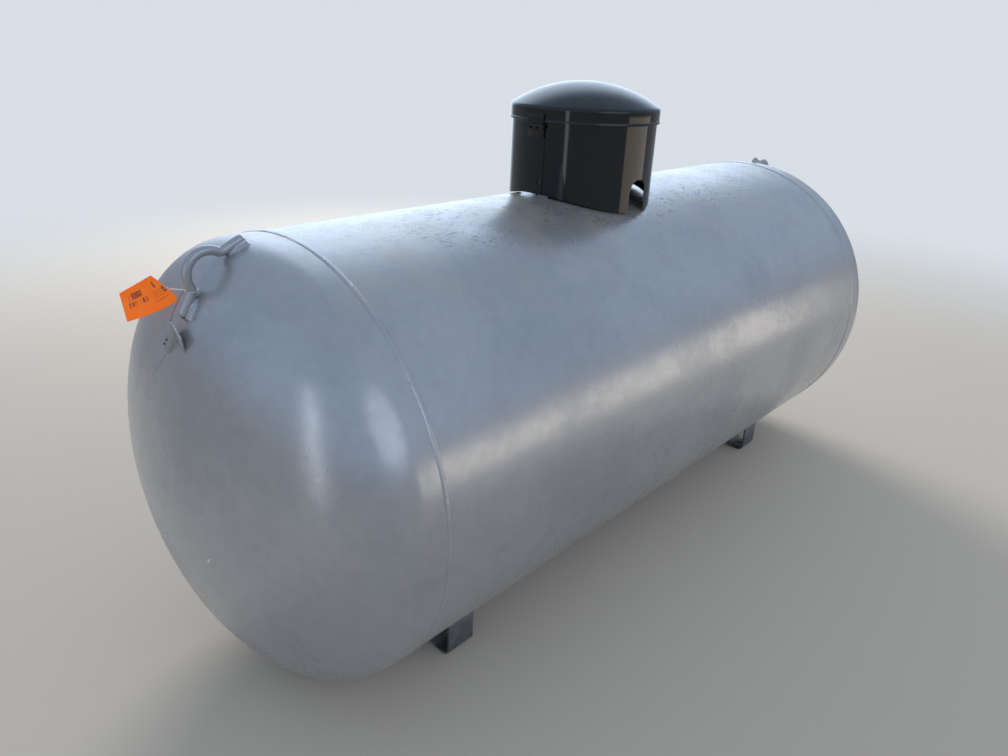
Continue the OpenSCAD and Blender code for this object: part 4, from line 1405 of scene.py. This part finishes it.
# Two strands leave the eyelet, twist round each other, wrap the bar from both sides
# and end in a short twisted tail
def tagWire(spec):
    eye, tie = Vector(card["eyelet"]), Vector(spec["tie"])
    along = (tie - eye).normalized()
    side = along.cross(Vector((0, 0, 1))).normalized()
    up = side.cross(along)
    flat = Vector((along.x, along.y, 0)).normalized()
    sidewise = Vector((-flat.y, flat.x, 0))
    lean = spec["tailLean"]
    tailAxis = (flat * lean[0] + sidewise * lean[1] + Vector((0, 0, lean[2]))).normalized()
    tailSide = tailAxis.cross(flat).normalized()
    tailUp = tailAxis.cross(tailSide)
    wrap = spec["barRadius"] + spec["radius"] + spec["gap"]
    reach = (tie - eye).length - wrap
    height, middle, width = spec["eyeBulge"]
    strands = []
    for way in (-1, 1):
        strand = [eye]
        for i in range(1, spec["steps"] + 1):
            f = i / spec["steps"]
            spread = height * math.exp(-((f - middle) / width) ** 2) + spec["helix"] * min(1, f * 5)
            a = 2 * math.pi * spec["turns"] * max(0, f - spec["twistFrom"])
            strand.append(eye + along * f * reach + (math.cos(a) * up + math.sin(a) * side) * spread * way)
        for k in range(1, spec["wrapSteps"] + 1):
            a = math.radians(180 - way * k * spec["wrapTurn"])
            off = wrap * (math.cos(a) * flat + math.sin(a) * sidewise)
            strand.append(tie + off + Vector((0, 0, spec["wrapRise"] * way)))
        for k in range(1, spec["tailSteps"] + 1):
            a = way * k * spec["tailTurn"]
            off = spec["tailHelix"] * (math.cos(a) * tailSide + math.sin(a) * tailUp) * way
            strand.append(tie + wrap * spec["tailFrom"] * flat + tailAxis * spec["tailRun"] * k + off)
        strands.append(strand)
    path = strands[0][::-1] + strands[1][1:]
    deliver(bentBar("tagWire", path, spec["radius"]), "tie_wire", "tag_wire")


def bracketWire(spec):
    low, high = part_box("bracket_wire")
    start = Vector(spec["bracketStart"])
    end = Vector((low[0] + 0.0006, (low[1] + high[1]) / 2, low[2]))
    points = [start + Vector(hook) for hook in spec["startHook"]]
    for i in range(25):
        f = i / 24
        points.append(start.lerp(end, f) + 4 * f * (1 - f) * Vector(spec["bow"]))
    points += [end + Vector(hook) for hook in spec["endHook"]]
    bar = bentBar("bracketWire", points, spec["bracketRadius"])
    deliver(bar, "rusty_wire", "bracket_wire", slot="tie_wire")


tagWire(wires)
bracketWire(wires)
print("stage: tag and wires")

# Valves, caps and gauge under the hood
for name in (
    "fill_valve", "fill_cap", "relief_valve", "relief_cap", "service_valve", "service_plug",
    "service_handwheel", "vapour_valve", "vapour_cap", "liquid_valve", "liquid_cap", "float_gauge",
):
    dressNode(name)

gaugeLow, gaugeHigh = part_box("float_gauge")
gauge = {
    "center": ((gaugeLow[0] + gaugeHigh[0]) / 2, (gaugeLow[1] + gaugeHigh[1]) / 2),
    "flangeTop": gaugeLow[2] + 0.008,
    "dialTop": gaugeHigh[2] - 0.002,
    "dialRadius": 0.02640,
    "dialPlate": 0.0003,
    "boltPlace": (gaugeHigh[0] - gaugeLow[0]) / 2 - 0.010,
    "boltAcross": 0.009,
    "boltHeight": 0.0042,
    "boltSink": 0.0002,
    "ticks": 11,
    "firstTick": -135,
    "tickTurn": 27,
    "tickShares": (0.20, 0.12),
    "tickSize": (0.0007, 0.0004),
    "needleAngle": -112,
    "needleShare": 0.86,
    "needleSize": (0.0012, 0.0005),
}


# A pale dial with marks and a needle, and four flange bolts
def dressGauge(spec):
    x, y = spec["center"]
    top, radius, plate = spec["dialTop"], spec["dialRadius"], spec["dialPlate"]
    outline = [(0, plate), (radius, plate), (radius, 0), (0, 0)]
    face = turnedPiece("gaugeDial", outline, (x, y, top), steps=64)
    deliver(face, "dial_face", slot="plain_steel")

    def bar(bearing, share, length, section, height):
        a = math.radians(90 - bearing)
        spot = (x + radius * share * math.cos(a), y + radius * share * math.sin(a), height)
        return addBlock((radius * length, *section), spot, a)

    marks = []
    for i in range(spec["ticks"]):
        length = spec["tickShares"][0 if i % 5 == 0 else 1]
        bearing = spec["firstTick"] + spec["tickTurn"] * i
        marks.append(bar(bearing, 0.92 - length / 2, length, spec["tickSize"], top + 0.0004))
    marks.append(bar(spec["needleAngle"], 0.30, spec["needleShare"], spec["needleSize"], top + 0.0007))
    marks[0].name = "gaugeMarks"
    joinInto(*marks)
    deliver(marks[0], "dial_ink", slot="plain_steel")
    bolts = []
    height = spec["boltHeight"]
    for side, end in ((-1, -1), (-1, 1), (1, -1), (1, 1)):
        spot = (x + side * spec["boltPlace"], y + end * spec["boltPlace"],
                spec["flangeTop"] + height / 2 - spec["boltSink"])
        corner = spec["boltAcross"] / 2 / math.cos(math.pi / 6)
        bolts.append(addCylinder(corner, height, spot, (0, 0, random.uniform(0, 1)), 6))
    joinInto(*bolts)
    bolts[0].name = "gaugeBolts"
    roundEdges(bolts[0], 0.0005, 2, 40)
    smooth(bolts[0], 35)
    deliver(bolts[0], "plain_steel")


dressGauge(gauge)
print("stage: valves")
